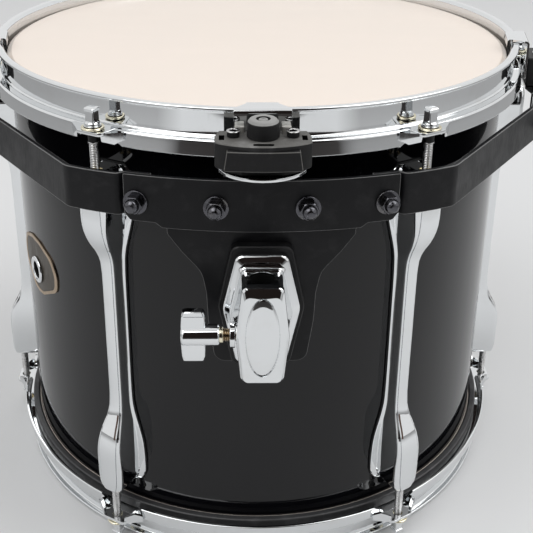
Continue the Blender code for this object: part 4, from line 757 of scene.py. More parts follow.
def build_badge():
    """The plain badge bent to the shell, and the flanged eyelet of the air vent that holds it."""
    half = [(0, -20.6, 6), (8, -19.8, 12), (30.5, -8, 9), (32, 4, 12), (25.5, 15.5, 14), (8, 21.6, 14),
            (0, 21.8, 4)]
    corners = half + [(-x, z, r) for x, z, r in reversed(half[1:-1])]
    outline = [Vector(point) for point in rounded(corners, 0, 8)]
    rings = []
    for inset, height in (
            (0, 0.25), (0, 1.0), (0.3, 1.2), (2.7, 1.2), (2.9, 0.9), (8, 0.9), (13, 0.9), (18, 0.92)):
        ring = []
        for point in outline:
            spot = point * (1 - inset / 27.0)
            angle, radius = spot.x / SHELL, SHELL + height
            ring.append((radius * math.sin(angle), -radius * math.cos(angle), BADGE_Z + spot.y))
        rings.append(ring)
    plate = painted(skinned(rings), "Bronze", "Enamel field")
    for face in plate.data.polygons:
        centre = Vector((face.center.x, face.center.y))
        flat = abs(Vector((face.normal.x, face.normal.y)).dot(centre.normalized())) > 0.9
        face.material_index = 1 if flat and centre.length < SHELL + 0.98 else 0
    at_vent = towards((0, 0, VENT_Z), FRONT)
    cut(plate, cylinder(VENT_BORE, 170, 190, 32, at_vent))
    set_down(plate, "shell_badge", "drum", ["badge"], BADGE_AZIMUTH)
    section = [
        (4.6, 168.4), (8.6, 168.4, 0.4), (8.6, 169.8, 0.4), (5.0, 170.0, 0.2), (5.0, 179.3, 0.3),
        (10.1, 179.3, 0.5), (9.4, 180.6, 1.0), (7.6, 180.9, 0.8), (6.3, 180.2, 0.8), (5.2, 178.4, 1.2)]
    eyelet = painted(lathe(section, 0, 4, 44, at_vent), "Chrome", "Hollow shade")
    # The vent's inner wall takes the hollow shade: painted shade in the bore.
    for face in eyelet.data.polygons:
        face.material_index = 1 if math.hypot(face.center.x, face.center.z - VENT_Z) < 6.0 else 0
    set_down(eyelet, "vent_eyelet", "drum", ["air_vent"], BADGE_AZIMUTH)


def curved_plate(corners, depth, holes=()):
    """A sheet of the band's curvature, cut to an outline of (x, z) corners, with bolt holes."""
    plate = painted(slab(rounded(corners, 1.2, 4), 0.0, BAND_SHEET), "Band paint", "Edge wear and highlight")
    widest = max(abs(corner[0]) for corner in corners)
    edit(plate)
    count = int(widest / 4)
    for number in range(-count, count + 1):
        bpy.ops.mesh.select_all(action="SELECT")
        bpy.ops.mesh.bisect(plane_co=(4.0 * number + 0.01, 0, 0), plane_no=(1, 0, 0))
    close_edit()
    for vert in plate.data.vertices:
        x, z, out = vert.co
        vert.co = (x, band_y(x, depth + BAND_SHEET - out), z)
    edit(plate)
    close_edit()
    # The bevels take the lighter edge finish: wear, and a painted edge highlight.
    soften(plate, 0.5, 2, 50, 1)
    for x, z in holes:
        cut(plate, cylinder(2.8, -8, 8, 20, band_frame(x, z)))
    return plate


def wing_plan(depth):
    """The plan of a wing's face at a depth behind the band's outer face, from the lap to the end."""
    points = [(x, band_y(x, BAND_LAYER + depth), 0) for x in (63, 68, 73)]
    points += [(79.4 - 0.5 * depth, band_y(79.4, BAND_LAYER + depth), 1.5 + depth * 0.3)]
    points += [(82.7 - 0.5 * depth, band_y(82.7, depth), 4 - depth * 0.5)]
    points += [(x, band_y(x, depth), 0) for x in (88, 96, 102)]
    bend = Vector((112.5, band_y(112.5)))
    run = Vector((math.cos(WING_ANGLE), math.sin(WING_ANGLE)))
    inward = Vector((-run.y, run.x))
    corner = bend + Vector((1.2, 0.9)) + inward * depth
    ray = Vector((math.sin(math.radians(78.7)), -math.cos(math.radians(78.7))))
    end = corner + run * (ray.x * corner.y - ray.y * corner.x) / (run.x * ray.y - run.y * ray.x)
    points += [(corner.x, corner.y, 12 - depth), (end.x, end.y, 0)]
    return points


def clip_frame():
    """A frame on the right wing's outer face at the bolt of its clip."""
    run = Vector((math.cos(WING_ANGLE), math.sin(WING_ANGLE)))
    end = Vector(wing_plan(0)[-1][:2])
    place = end - run * 15
    return towards((place.x, place.y, BOLT_Z), (run.y, -run.x, 0))


def wing():
    """The right arm of the band."""
    corners = wing_plan(0) + list(reversed(wing_plan(BAND_SHEET)))
    arm = painted(slab(rounded(corners, 0, 6), BAND_BOTTOM, BAND_TOP - 0.3), "Band paint", "Edge wear and highlight")
    # The bevels take the lighter edge finish: wear, and a painted edge highlight.
    soften(arm, 0.5, 2, 50, 1)
    for place in (band_frame(72, BOLT_Z), clip_frame()):
        cut(arm, cylinder(2.8, -9, 9, 20, place))
    return arm


def build_band():
    """The centre plate, the tongue that carries the bracket, and both arms."""
    half = [(79, BAND_TOP, 1), (79, 259.6, 2), (75.6, 255.3, 2.5), (61, 255.3, 3), (57.2, PLATE_BOTTOM, 3)]
    outline = both_sides(half)
    plate = curved_plate(outline, 0, [(x, BOLT_Z) for x in (-72, -26, 26, 72)])
    set_down(plate, "band_centre_plate", "drum", ["mount_centre_plate"])
    half = [
        (55.5, 259.8, 1), (54.5, 247, 3), (46.5, 236.5, 14), (35, 224, 16), (32.3, 210, 14), (31.6, 192, 20),
        (27.6, 163.4, 6.5)]
    tongue = curved_plate(both_sides(half), BAND_LAYER)
    set_down(tongue, "band_tongue", "drum", ["mount_tongue"])
    right = wing()
    left = mirrored(copied(right, "left"))
    set_down(right, "band_arm_right", "drum", ["mount_wing_right"])
    set_down(left, "band_arm_left", "drum", ["mount_wing_left"])


def hexagon(half):
    """A hexagonal outline whose flats are a distance from the middle."""
    corner = half / math.cos(math.pi / 6)
    return [(corner * math.cos(math.pi * k / 3), corner * math.sin(math.pi * k / 3)) for k in range(6)]


def bolt(behind):
    """A bolt from behind, with its washer and acorn nut in front; Z is its own axis from the face out."""
    washer = painted(flat_ring(2.7, 7.4, 0.2, 1.4, 0.4, 3, 40), "Dark nickel")
    nut = soften(slab(hexagon(5.0), 1.4, 6.2), 0.3, 2)
    taper = [(0, 1.0), (5.3, 1.0, 0.1), (5.8, 1.6, 0.1), (5.8, 5.4, 0.1), (5.0, 6.3, 0.4), (0, 6.3)]
    cut(nut, lathe(taper, 0, 2, 40), operation="INTERSECT")
    section = [(0, 5), (4.3, 5, 0.1), (4.3, 6.6, 0.8), (3.9, 8.4, 2.0), (2.2, 9.9, 2.2), (0, 10.0)]
    dome = lathe(section, 0, 6, 40)
    cap = painted(fuse(nut, dome), "Dark nickel")
    back = -(behind + 0.3)
    stem = [(0, back - 2.2), (4.6, back - 2.2, 0.8), (4.6, back, 0.3), (2.5, back), (2.5, 1.0), (0, 1.0)]
    return joined(washer, cap, painted(lathe(stem, 0, 3, 32), "Dark nickel"))


def build_bolts():
    """The six bolts of the band."""
    thin, thick = bolt(BAND_LAYER + 2.0), bolt(BAND_LAYER + BAND_SHEET)
    flip = Matrix.Scale(-1, 4, (1, 0, 0))
    places = []
    for side in (-1, 1):
        clip = clip_frame() if side > 0 else flip @ clip_frame() @ flip
        inner, outer = band_frame(side * 26, BOLT_Z), band_frame(side * 72, BOLT_Z)
        places += [(thin, inner), (thick, outer), (thin, clip)]
    for number, (pattern, place) in enumerate(places, start=1):
        piece = copied(pattern, "bolt")
        set_down(piece, f"band_bolt_{number}", "drum", [f"mount_bolt_{number}"], 0, place)
    discard(thin, thick)


def hoop_hook(half, tip_half):
    """A bent chrome plate over the hoop's rim, with its inner lip tapered."""
    inner, outer, top = 179.3, 191.15, HEIGHT + 0.3
    side = [(-outer - 1.5, 297, 0.3), (-outer - 1.5, top + 1.5, 2.6), (1.5 - inner, top + 1.5, 2.4),
            (1.5 - inner, 318, 0.5), (-inner, 318, 0.5), (-inner, top, 0.9), (-outer, top, 1.1),
            (-outer, 297, 0.3)]
    sweep = Matrix(((0, 0, 1, 0), (1, 0, 0, 0), (0, 1, 0, 0), (0, 0, 0, 1)))
    plate = slab(rounded(side, 0, 6), -half, half, sweep)
    for sign in (-1, 1):
        waste = [(sign * (half + 3), -189.5), (sign * half, -189.5), (sign * (tip_half + 1), -181.5),
                 (sign * tip_half, -170), (sign * (half + 3), -170)]
        cut(plate, slab(rounded(waste, 1.0, 3), 312, 330))
    return painted(soften(plate, 0.25, 2, 50), "Chrome")


def arc(half, corner_y, front_y, count):
    """Points of a bulging front edge, from one corner to the other."""
    rise = front_y - corner_y
    radius = (half * half + rise * rise) / (2 * rise)
    sweep = math.asin(half / radius)
    points = []
    for number in range(count + 1):
        angle = sweep * (2 * number / count - 1)
        points.append((radius * math.sin(angle), -(front_y - radius + radius * math.cos(angle))))
    return points


def grip_moulding():
    """The grip's body, with its proud front panel, square holes and slot."""
    plan = [(-26.4, -200.5, 1.5), (-26.3, -211.2, 3)]
    plan += [(x, y, 0) for x, y in arc(23.5, 213.4, GRIP_FRONT - 0.6, 20)]
    plan += [(26.3, -211.2, 3), (26.4, -200.5, 1.5), (24.6, -GRIP_BACK, 1.5), (-24.6, -GRIP_BACK, 1.5)]
    body = painted(slab(rounded(plan, 0, 4), GRIP_BOTTOM, GRIP_TOP), "Moulding", "Dust and sheen moulding", "Hollow shade")
    soften(body, 1.1, 3, 50)
    # The top faces and the top of the rounded edge take the pale finish: dust, and on the edge a painted
    # highlight.
    for face in body.data.polygons:
        face.material_index = 1 if face.center.z > GRIP_TOP - 0.6 and face.normal.z > 0.4 else 0
    rings = []
    for number in range(13):
        share = number / 6 - 1
        near = -(GRIP_FRONT - 1.3 * share * share)
        rings.append([(21.3 * share, near, 297.8), (19.6 * share, near, 309.0), (19.6 * share, -211, 309.6),
                      (21.3 * share, -211, 297.8)])
    panel = painted(skinned(rings), "Moulding", "Dust and sheen moulding", "Hollow shade")
    # The panel's bevels take the pale finish: dust and a painted edge highlight.
    fuse(body, soften(panel, 0.45, 2, 50, 1))
    # The walls of the square holes and the slot take the hollow shade: painted shade in the holes.
    for x in (-SQUARE_X, SQUARE_X):
        cut(body, painted(slab(rectangle(x - 1.5, x + 1.5, -208.0, -200.8), 305, 316), "Hollow shade"))
    slot = rounded(rectangle(-5.6, 5.6, -217.0, -213.8), 1.2, 3)
    cut(body, painted(slab(slot, 307, 316), "Hollow shade"))
    set_down(body, "grip_moulding", "drum", ["grip_body"])


def grip_hook():
    """The hook over the hoop's rim, with its two cast tabs."""
    tabs = []
    for x in (-12.9, 12.9):
        tab = slab(rounded(rectangle(x - 2.6, x + 2.6, -197.6, -192.9), 0.8, 3), 312.05, 315.6)
        tabs.append(painted(soften(tab, 0.25, 2), "Cast zinc"))
    set_down(joined(hoop_hook(16.0, 8.2), *tabs), "grip_hook_plate", "drum", ["grip_hook"])


def grip_knob():
    """The knob with its worn crown and groove, on its shank."""
    at_knob = Matrix.Translation((0, -KNOB_Y, 0))
    knob = lathe([(0, 312.3), (9.0, 312.3, 0.4), (8.7, 320.4, 1.4), (7.2, 322.3, 1.6), (4.0, 322.4, 0.3),
                  (3.8, 320.5, 0.2), (2.7, 320.5, 0.2), (2.6, 322.0, 0.4), (1.3, 322.1, 0.2), (1.2, 321.7),
                  (0, 321.7)], 0, 5, 56, at_knob)
    painted(knob, "Knob rubber", "Knob crown")
    for face in knob.data.polygons:
        away = math.hypot(face.center.x, face.center.y + KNOB_Y)
        face.material_index = 1 if face.center.z > 321.2 and (away < 2.8 or away > 3.9) else 0
    shank = painted(flat_ring(0, 2.5, 289.6, 312.6, 0.3, 2, 24, at_knob), "Rod steel")
    set_down(joined(knob, shank), "grip_thumb_knob", "drum", ["grip_knob"])


def grip_posts():
    """The hollow posts on both sides of the knob."""
    for side, x in (("left", -16.2), ("right", 16.2)):
        spot = Matrix.Translation((x, -KNOB_Y, 0))
        core = flat_ring(2.2, 3.5, 312.2, 315.0, 0.3, 2, 32, spot)
        ring = flat_ring(2.0, 3.8, 314.9, 315.7, 0.35, 3, 32, spot)
        # A near-black disc at the foot of each post's hole: painted shade.
        well = flat_ring(0, 2.3, 312.2, 312.6, 0.05, 1, 24, spot)
        post = joined(painted(core, "Knob rubber"), painted(ring, "Rod steel"), painted(well, "Hollow shade"))
        set_down(post, f"grip_eyelet_{side}", "drum", [f"grip_post_{side}"])


def grip_seat():
    """The isolator under the body, and the bent plate that carries both."""
    pad = rounded(both_sides([(19.8, -197), (19.8, -206), (12, -210.5)]), 2, 3)
    isolator = painted(soften(slab(pad, 292.1, 296.7), 0.5, 2), "Knob rubber")
    set_down(isolator, "grip_rubber", "drum", ["grip_isolator"])
    plan = arc(25, 198.5, 214.95, 28) + [(x, band_y(x, BAND_LAYER + 1)) for x in (25, 12.5, 0, -12.5, -25)]
    shelf = soften(slab(plan, LEDGE_BOTTOM, LEDGE_TOP), 0.4, 2, 50)
    rings = []
    for number in range(17):
        x = 31 * (number / 8 - 1)
        outer, inner = band_y(x, BAND_LAYER), band_y(x, BAND_LAYER + 2)
        top = 291.4 if abs(x) < 21.5 else BAND_TOP - 2
        rings.append([(x, outer, LEG_BOTTOM), (x, outer, top), (x, inner, top), (x, inner, LEG_BOTTOM)])
    leg = skinned(rings)
    shelf = painted(soften(fuse(shelf, leg), 0.2, 1, 60), "Chrome", "Dark nickel")
    for face in shelf.data.polygons:
        face.material_index = 1 if face.center.z < LEDGE_BOTTOM - 0.1 or face.normal.z > 0.7 else 0
    set_down(shelf, "grip_under_plate", "drum", ["grip_lower_plate"])


def build_grip():
    """The grip at the front of the hoop, piece by piece."""
    for build in (grip_moulding, grip_hook, grip_knob, grip_posts, grip_seat):
        build()


def build_clips():
    """The hoop clips at the ends of the arms."""
    hook = hoop_hook(15, 10.8)
    plan = [(15, -GRIP_BACK, 1.5), (-15, -GRIP_BACK, 1.5), (-15, -206.5, 4), (-9.5, -211.8, 6),
            (9.5, -211.8, 6), (15, -206.5, 4)]
    body = soften(slab(rounded(plan, 0, 5), 292.1, GRIP_TOP), 1.2, 3, 50)
    at_hole = Matrix.Translation((0, -202.5, 0))
    # The hole's wall takes the hollow shade: painted shade.
    cut(body, painted(cylinder(3.6, 305, 316, 28, at_hole), "Hollow shade"))
    painted(body, "Moulding", "Hollow shade")
    body = joined(body, painted(flat_ring(3.4, 5.6, 311.8, 312.8, 0.4, 3, 32, at_hole), "Rod steel"))
    run = Vector((math.cos(WING_ANGLE), math.sin(WING_ANGLE)))
    inward = Vector((-run.y, run.x))
    end = Vector(wing_plan(0)[-1][:2]) + inward * BAND_LAYER
    start = end - run * 30
    plan = [tuple(spot) for spot in (start, end, end + inward * 2, start + inward * 2)]
    leg = soften(slab(plan, LEG_BOTTOM, 291.4), 0.4, 2)
    plan = [tuple(start), tuple(end)]
    for x, radius in ((15, 211.8), (15, 193), (-15, 193)):
        plan.append(tuple((at(CLIP_AZIMUTH) @ Vector((x, -radius, 0))).to_2d()))
    shelf = soften(slab(rounded(plan, 0.8, 3), LEDGE_BOTTOM, LEDGE_TOP), 0.4, 2)
    bracket = painted(fuse(shelf, leg), "Chrome")
    cut(bracket, cylinder(2.8, -9, 9, 20, clip_frame()))
    for side, sign in (("right", 1), ("left", -1)):
        hook_copy, body_copy, plate = copied(hook, "hook"), copied(body, "body"), copied(bracket, "plate")
        if sign < 0:
            mirrored(plate)
        turn = sign * CLIP_AZIMUTH
        set_down(hook_copy, f"clip_hook_plate_{side}", "drum", [f"clip_{side}_hook"], turn)
        set_down(body_copy, f"clip_moulding_{side}", "drum", [f"clip_{side}_body"], turn)
        set_down(plate, f"clip_plate_{side}", "drum", [f"clip_{side}_bracket"])
    discard(hook, body, bracket)


def six_sided(half, top_half, top, bottom, corner):
    """A six-sided outline, broadest at the shoulder, with rounded corners."""
    right = [(top_half, bottom, corner), (half, SHOULDER, 14), (top_half, top, corner)]
    return rounded(right + [(-x, z, r) for x, z, r in reversed(right)], 0, 5)


def layered(layers):
    """Skin outlines of (x, z) points that stand at distances from the drum's axis."""
    return skinned([[(x, -distance, z) for x, z in outline] for outline, distance in layers])


def clamp_frame():
    """A frame on the holder rod's axis whose Z points along the clamp's screw."""
    return towards((0, -SOCKET_Y, CLAMP_Z), (-1, 0, 0))


def bracket_base():
    """The gasket, and the base plate with its two screws."""
    gasket = six_sided(25.4, 17.2, 244.9, 165.9, 5)
    inner = six_sided(24.8, 16.6, 244.3, 166.5, 5)
    pad = painted(layered([(gasket, 196.05), (gasket, 201.6), (inner, 202.3)]), "Gasket rubber")
    set_down(pad, "bracket_pad", "drum", ["bracket_gasket"])
    layers = []
    for inset, distance in (
            (0.3, 202.6), (0, 202.9), (0, 204.6), (0.3, 205.3), (0.9, 205.9), (1.0, 205.95), (3.6, 207.2),
            (3.8, 207.25)):
        outline = six_sided(22.8 - inset, 14.8 - inset, 241 - inset, 168.5 + inset, 5 - 0.5 * inset)
        layers.append((outline, distance))
    plate = painted(layered(layers), "Chrome")
    stem = [(0, 190.5), (3.4, 190.5, 0.4), (4.4, 191.6, 0.6), (4.4, 192.6), (2.6, 192.6), (2.6, 204),
            (0, 204)]
    screws = [painted(lathe(stem, 0, 3, 28, towards((0, 0, z), FRONT)), "Old steel") for z in (232, 180)]
    set_down(joined(plate, *screws), "bracket_plate", "drum", ["bracket_base_plate"])


def bracket_housing():
    """The housing, with the holder rod's socket and the bore of the clamp's screw."""
    layers = []
    for flare, distance in (
            (1.5, 207.7), (0.7, 208.1), (0.2, 208.9), (0, 210), (-1.7, 220.5), (-3.4, 230.3), (-3.7, 230.7)):
        half, top = 17.6 + flare, 11.6 + max(flare, -0.4)
        rise = max(flare, 0)
        layers.append((six_sided(half, top, 234 + rise, 174 - rise, 3.6), distance))
    housing = layered(layers)
    at_socket = Matrix.Translation((0, -SOCKET_Y, 0))
    painted(housing, "Chrome", "Hollow shade")
    cut(housing, turned([(0, 233), (6.9, 233), (7.25, 234.02), (7.25, 240), (0, 240)], 48, at_socket))
    # The socket's wall takes the hollow shade: painted shade in the bore.
    cut(housing, painted(cylinder(6.9, 170, 233.4, 48, at_socket), "Hollow shade"))
    bore = [(0, 3), (4.4, 3), (4.4, BOSS_SEAT), (7.8, BOSS_SEAT), (7.8, 22), (0, 22)]
    cut(housing, turned(bore, 40, clamp_frame()))
    set_down(housing, "bracket_block", "drum", ["bracket_housing"])


def bracket_cover():
    """The cover, with its raised oval in a groove."""
    layers = []
    for inset, drop, dip, distance in (
            (0.4, 0.4, 0, 231.0), (0, 0, 0, 231.3), (0, 0, 0, 235.1), (0.25, 0.3, 0, 235.8),
            (0.7, 0.9, 0, 236.3), (0.8, 1.1, 0.1, 236.4), (1.5, 4.2, 1.1, 237.66), (1.6, 4.4, 1.15, 237.74),
            (1.9, 4.8, 1.2, 237.8)):
        top = 237 - drop
        right = [(12.1 - inset, 175.8 + inset, 4.6 - inset), (14.95 - inset, SHOULDER, 14),
                 (11.4 - inset, top, 3.4)]
        left = [(-x, z, corner) for x, z, corner in reversed(right)]
        layers.append((rounded(right + [(0, top - dip, 0)] + left, 0, 5), distance))
    cover = layered(layers)
    stretch = Matrix.Translation((0, 0, 206.4)) @ Matrix.Diagonal((9.9, 1, 25.2, 1))
    stretch = stretch @ towards((0, 0, 0), FRONT)
    cut(cover, cylinder(1, 236.4, 240, 72, stretch))
    pillow = [(0, 236.2), (0.955, 236.2), (0.963, 237.3)]
    pillow += [(0.96 - 0.04 * step, 238.4 - 13.2 * (0.28 - 0.04 * step) ** 2) for step in range(8)] + [
        (0.66, 238.4), (0.3, 238.4), (0, 238.4)]
    fuse(cover, turned(pillow, 72, stretch))
    painted(cover, "Chrome")
    set_down(cover, "bracket_face", "drum", ["bracket_cover"], smooth=25)


def bracket_boss():
    """The collar round the clamp's screw, with a counterbore for the screw's flange."""
    low, step, high = BOSS_SEAT + 0.3, BOSS_SEAT + 2.3, BOSS_SEAT + 3.3
    section = [(4.2, low), (7.4, low), (7.4, high), (5.2, high), (5.2, step), (4.2, step)]
    boss = painted(lathe(section, 0.3, 3, 48, clamp_frame()), "Chrome")
    set_down(boss, "bracket_collar", "drum", ["bracket_boss"])


def build_bracket():
    """The holder bracket, piece by piece."""
    for build in (bracket_base, bracket_housing, bracket_cover, bracket_boss):
        build()


def build_clamp():
    """The shoe that presses on the holder rod, and the wing bolt that drives it."""
    side = clamp_frame()
    shoe = lathe([(0, 7.4), (3.3, 7.4, 0.5), (4.0, 8.1, 0.3), (4.0, 10.4, 0.3), (0, 10.4)], 0, 3, 36, side)
    set_down(painted(shoe, "Brass"), "rod_shoe", "clamp_shoe", ["clamp_shoe"])
    profile = [(0, 10.7), (3.2, 10.7)]
    for turn in range(9):
        low = 11.4 + THREAD_PITCH * turn
        profile += [(3.3, low), (3.85, low + 0.45), (3.85, low + 0.75)]
    profile += [(3.3, 22.3), (0, 22.3)]
    neck = painted(turned(profile, 32, side), "Bolt thread")
    section = [(0, 22.2), (4.7, 22.2, 0.5), (4.7, 24.4, 0.3), (0, 24.4)]
    flange = painted(lathe(section, 0, 3, 40, side), "Washer cream")
    section = [(0, 24.3), (5.8, 24.3, 0.5), (6.2, 25.2, 0.5), (6.2, 45.1, 1.2), (4.9, 46.3, 0.6), (0, 46.3)]
    hub = lathe(section, 0, 4, 56, side)
    rings = []
    for height, start, end, thick in (
            (-16.3, 34.0, 44.6, 2.2), (-15.9, 33.3, 45.2, 2.6), (-13.4, 32.5, 45.8, 2.9),
            (-13.2, 32.45, 45.8, 2.9), (-7, 32.3, 46.2, 3.0), (0, 32.3, 46.3, 3.1), (7, 32.3, 46.2, 3.0),
            (13.2, 32.45, 45.8, 2.9), (13.3, 32.6, 45.7, 2.6), (13.6, 32.6, 45.7, 2.6),
            (13.7, 32.5, 45.8, 2.9), (15.9, 33.3, 45.2, 2.7), (16.3, 34.0, 44.6, 2.2)):
        outline = rounded([(-thick, start), (thick, start), (thick, end), (-thick, end)], 1.2, 4)
        rings.append([side @ Vector((x, height, along)) for x, along in outline])
    blade = skinned(rings)
    wing_part = painted(fuse(hub, blade), "Chrome")
    set_down(joined(wing_part, neck, flange), "wing_screw", "wing_bolt", ["wing_bolt"])


def behind_camera(tree, place, depth):
    """A mask that is one in a wedge round -Y, beyond a depth along it."""
    side = maths(tree, "ABSOLUTE", place["X"])
    turn = maths(tree, "ARCTAN2", side, maths(tree, "MULTIPLY", place["Y"], -1.0))
    wedge = ranged(tree, turn, math.radians(30), math.radians(40), 1.0, 0.0)
    return maths(tree, "MULTIPLY", wedge, ranged(tree, place["Y"], *depth))


def build_floor(looks):
    """The pale floor; mirrored rays find it dimmer to the sides and dark behind the camera."""
    bpy.ops.object.select_all(action="DESELECT")
    bpy.ops.mesh.primitive_plane_add(size=16, location=(0, 0, 0))
    floor = bpy.context.object
    floor.name = "floor"
    floor.data.transform(Matrix.Translation((0, 0, -0.0005)))
    tree, shader = finish_of("Pale floor", looks.floor, 0.7)
    cloud = noise(tree, 1.5, 2.0)
    deeper = [value * 0.985 for value in looks.floor]
    tone = blend(tree, cloud.outputs["Fac"], (*looks.floor, 1.0), (*deeper, 1.0))
    where = node(tree, "ShaderNodeTexCoord")
    split = node(tree, "ShaderNodeSeparateXYZ", {0: where.outputs["Object"]})
    beyond = behind_camera(tree, split.outputs, (-1.015, -1.045))
    mirrored_ray = node(tree, "ShaderNodeLightPath").outputs["Is Glossy Ray"]
    far = maths(tree, "MULTIPLY", beyond, mirrored_ray)
    away = node(tree, "ShaderNodeVectorMath", {0: where.outputs["Object"]}, operation="LENGTH")
    outer = ranged(tree, away.outputs["Value"], 0.6, 1.1, 0.0, 0.5)
    ahead = behind_camera(tree, split.outputs, (0.0, -0.01))
    outer = maths(tree, "MULTIPLY", outer, maths(tree, "SUBTRACT", 1.0, ahead))
    dark = (*looks.dark_side, 1.0)
    tone = blend(tree, maths(tree, "MULTIPLY", outer, mirrored_ray), tone, dark)
    tree.links.new(blend(tree, far, tone, dark), shader.inputs["Base Color"])
    painted(floor, "Pale floor")


def build_sky(looks):
    """An even studio light, with a dark side behind the camera that the camera never sees."""
    world = bpy.data.worlds.new("studio")
    bpy.context.scene.world = world
    world.use_nodes = True
    tree = world.node_tree
    where = node(tree, "ShaderNodeTexCoord")
    split = node(tree, "ShaderNodeSeparateXYZ", {0: where.outputs["Generated"]})
    low = ranged(tree, split.outputs["Z"], 0.93, 0.99, 1.0, 0.0)
    wedge = behind_camera(tree, split.outputs, (0.0, -0.02))
    seen = node(tree, "ShaderNodeLightPath").outputs["Is Camera Ray"]
    shade = maths(tree, "MULTIPLY", low, wedge)
    share = maths(tree, "MULTIPLY", shade, maths(tree, "SUBTRACT", 1.0, seen))
    tone = blend(tree, share, (*looks.sky, 1.0), (*looks.dark_side, 1.0))
    tree.links.new(tone, tree.nodes["Background"].inputs["Color"])
    tree.nodes["Background"].inputs["Strength"].default_value = 1.0


def add_lamps(looks):
    """Two soft lamps that look at the drum's middle."""
    for name, place, size, power in (("key", (-0.85, -1.1, 1.9), looks.key_size, looks.key_power),
                                     ("fill", (1.1, -0.2, 1.8), looks.fill_size, looks.fill_power)):
        bpy.ops.object.light_add(type="AREA", location=place)
        lamp = bpy.context.object
        lamp.name = name
        lamp.data.size = size
        lamp.data.energy = power
        lamp.rotation_euler = (Vector((0, 0, 0.2)) - Vector(place)).to_track_quat("-Z", "Y").to_euler()


def add_camera(looks):
    """The camera, in front of the bracket and above the rim, looking down."""
    scene = bpy.context.scene
    camera = bpy.data.cameras.new("camera")
    camera.lens = looks.lens
    camera.sensor_width = 36
    camera.shift_x, camera.shift_y = 0.0206, -0.164
    camera.clip_end = 60
    viewer = bpy.data.objects.new("camera", camera)
    scene.collection.objects.link(viewer)
    forward = Vector((0.01666, 0.91929, -0.39323)).normalized()
    right = forward.cross(Vector((0, 0, 1))).normalized()
    up = right.cross(forward)
    roll = math.radians(0.41)
    level = right * math.cos(roll) + up * math.sin(roll)
    crown = up * math.cos(roll) - right * math.sin(roll)
    turn = Matrix((level, crown, -forward)).transposed().to_4x4()
    spot = Vector((-12.71, -683.72, 492.78)) * MM + Vector((0, AXIS_Y, 0))
    viewer.matrix_world = Matrix.Translation(spot) @ turn
    scene.camera = viewer
    scene.view_settings.view_transform = "Standard"


def build_stage(looks):
    """The studio round the drum."""
    for build in (build_floor, build_sky, add_lamps, add_camera):
        build(looks)


class TomLooks(bpy.types.PropertyGroup):
    """Sizes, colours and strengths of the drum and its studio"""
    film_thickness: bpy.props.FloatProperty(
        name="Film thickness", description="Thickness of the heads in millimetres",
        default=0.4, min=0.1, max=1.0)
    lacquer: bpy.props.FloatVectorProperty(
        name="Lacquer", description="Colour of the shell's lacquer", subtype="COLOR", size=3,
        default=(0.0025, 0.0025, 0.0034), min=0, max=1)
    wood: bpy.props.FloatVectorProperty(
        name="Inner wood", description="Colour of the bare maple inside", subtype="COLOR", size=3,
        default=(0.9, 0.76, 0.65), min=0, max=1)
    # The film's tint is painted light: the lit maple seen through the clear heads.
    film: bpy.props.FloatVectorProperty(
        name="Film", description="Tint of the clear heads", subtype="COLOR", size=3,
        default=(0.96, 0.87, 0.79), min=0, max=1)
    film_alpha: bpy.props.FloatProperty(
        name="Film density", description="How much of the light the film holds back",
        default=0.62, min=0, max=1)
    chrome: bpy.props.FloatVectorProperty(
        name="Chrome", description="Colour of the plating", subtype="COLOR", size=3,
        default=(0.75, 0.765, 0.775), min=0, max=1)
    band: bpy.props.FloatVectorProperty(
        name="Band", description="Colour of the suspension band's paint", subtype="COLOR", size=3,
        default=(0.0035, 0.0036, 0.0046), min=0, max=1)
    floor: bpy.props.FloatVectorProperty(
        name="Floor", description="Colour of the studio floor", subtype="COLOR", size=3,
        default=(0.67, 0.675, 0.68), min=0, max=1)
    sky: bpy.props.FloatVectorProperty(
        name="Studio light", description="Colour of the bright part of the studio", subtype="COLOR", size=3,
        default=(0.9, 0.9, 0.9), min=0, max=1)
    dark_side: bpy.props.FloatVectorProperty(
        name="Studio shade", description="Colour of the studio behind the camera", subtype="COLOR", size=3,
        default=(0.016, 0.012, 0.011), min=0, max=1)
    key_power: bpy.props.FloatProperty(
        name="Key lamp", description="Power of the main lamp", default=18.5, min=0, unit="POWER")
    fill_power: bpy.props.FloatProperty(
        name="Fill lamp", description="Power of the second lamp", default=15.0, min=0, unit="POWER")
    key_size: bpy.props.FloatProperty(
        name="Key size", description="Width of the main lamp", default=1.5, min=0.1, unit="LENGTH")
    fill_size: bpy.props.FloatProperty(
        name="Fill size", description="Width of the second lamp", default=1.4, min=0.1, unit="LENGTH")
    lens: bpy.props.FloatProperty(
        name="Lens", description="Focal length of the camera", default=64.2, min=20,
        subtype="DISTANCE_CAMERA")


class TOM_OT_finishes(bpy.types.Operator):
    """Make every material of the drum"""
    bl_idname = "tom.finishes"
    bl_label = "Finishes"
    bl_options = {"REGISTER", "UNDO"}

    def execute(self, context):
        add_finishes(context.scene.tom_looks)
        return {"FINISHED"}


class TOM_OT_shell(bpy.types.Operator):
    """Build the wooden shell"""
    bl_idname = "tom.shell"
    bl_label = "Shell"
    bl_options = {"REGISTER", "UNDO"}

    def execute(self, context):
        build_shell()
        return {"FINISHED"}


class TOM_OT_hoops(bpy.types.Operator):
    """Build both triple-flanged hoops"""
    bl_idname = "tom.hoops"
    bl_label = "Hoops"
    bl_options = {"REGISTER", "UNDO"}

    def execute(self, context):
        build_hoops()
        return {"FINISHED"}


class TOM_OT_heads(bpy.types.Operator):
    """Build the films and their flesh hoops"""
    bl_idname = "tom.heads"
    bl_label = "Heads"
    bl_options = {"REGISTER", "UNDO"}

    def execute(self, context):
        build_heads(context.scene.tom_looks.film_thickness)
        return {"FINISHED"}


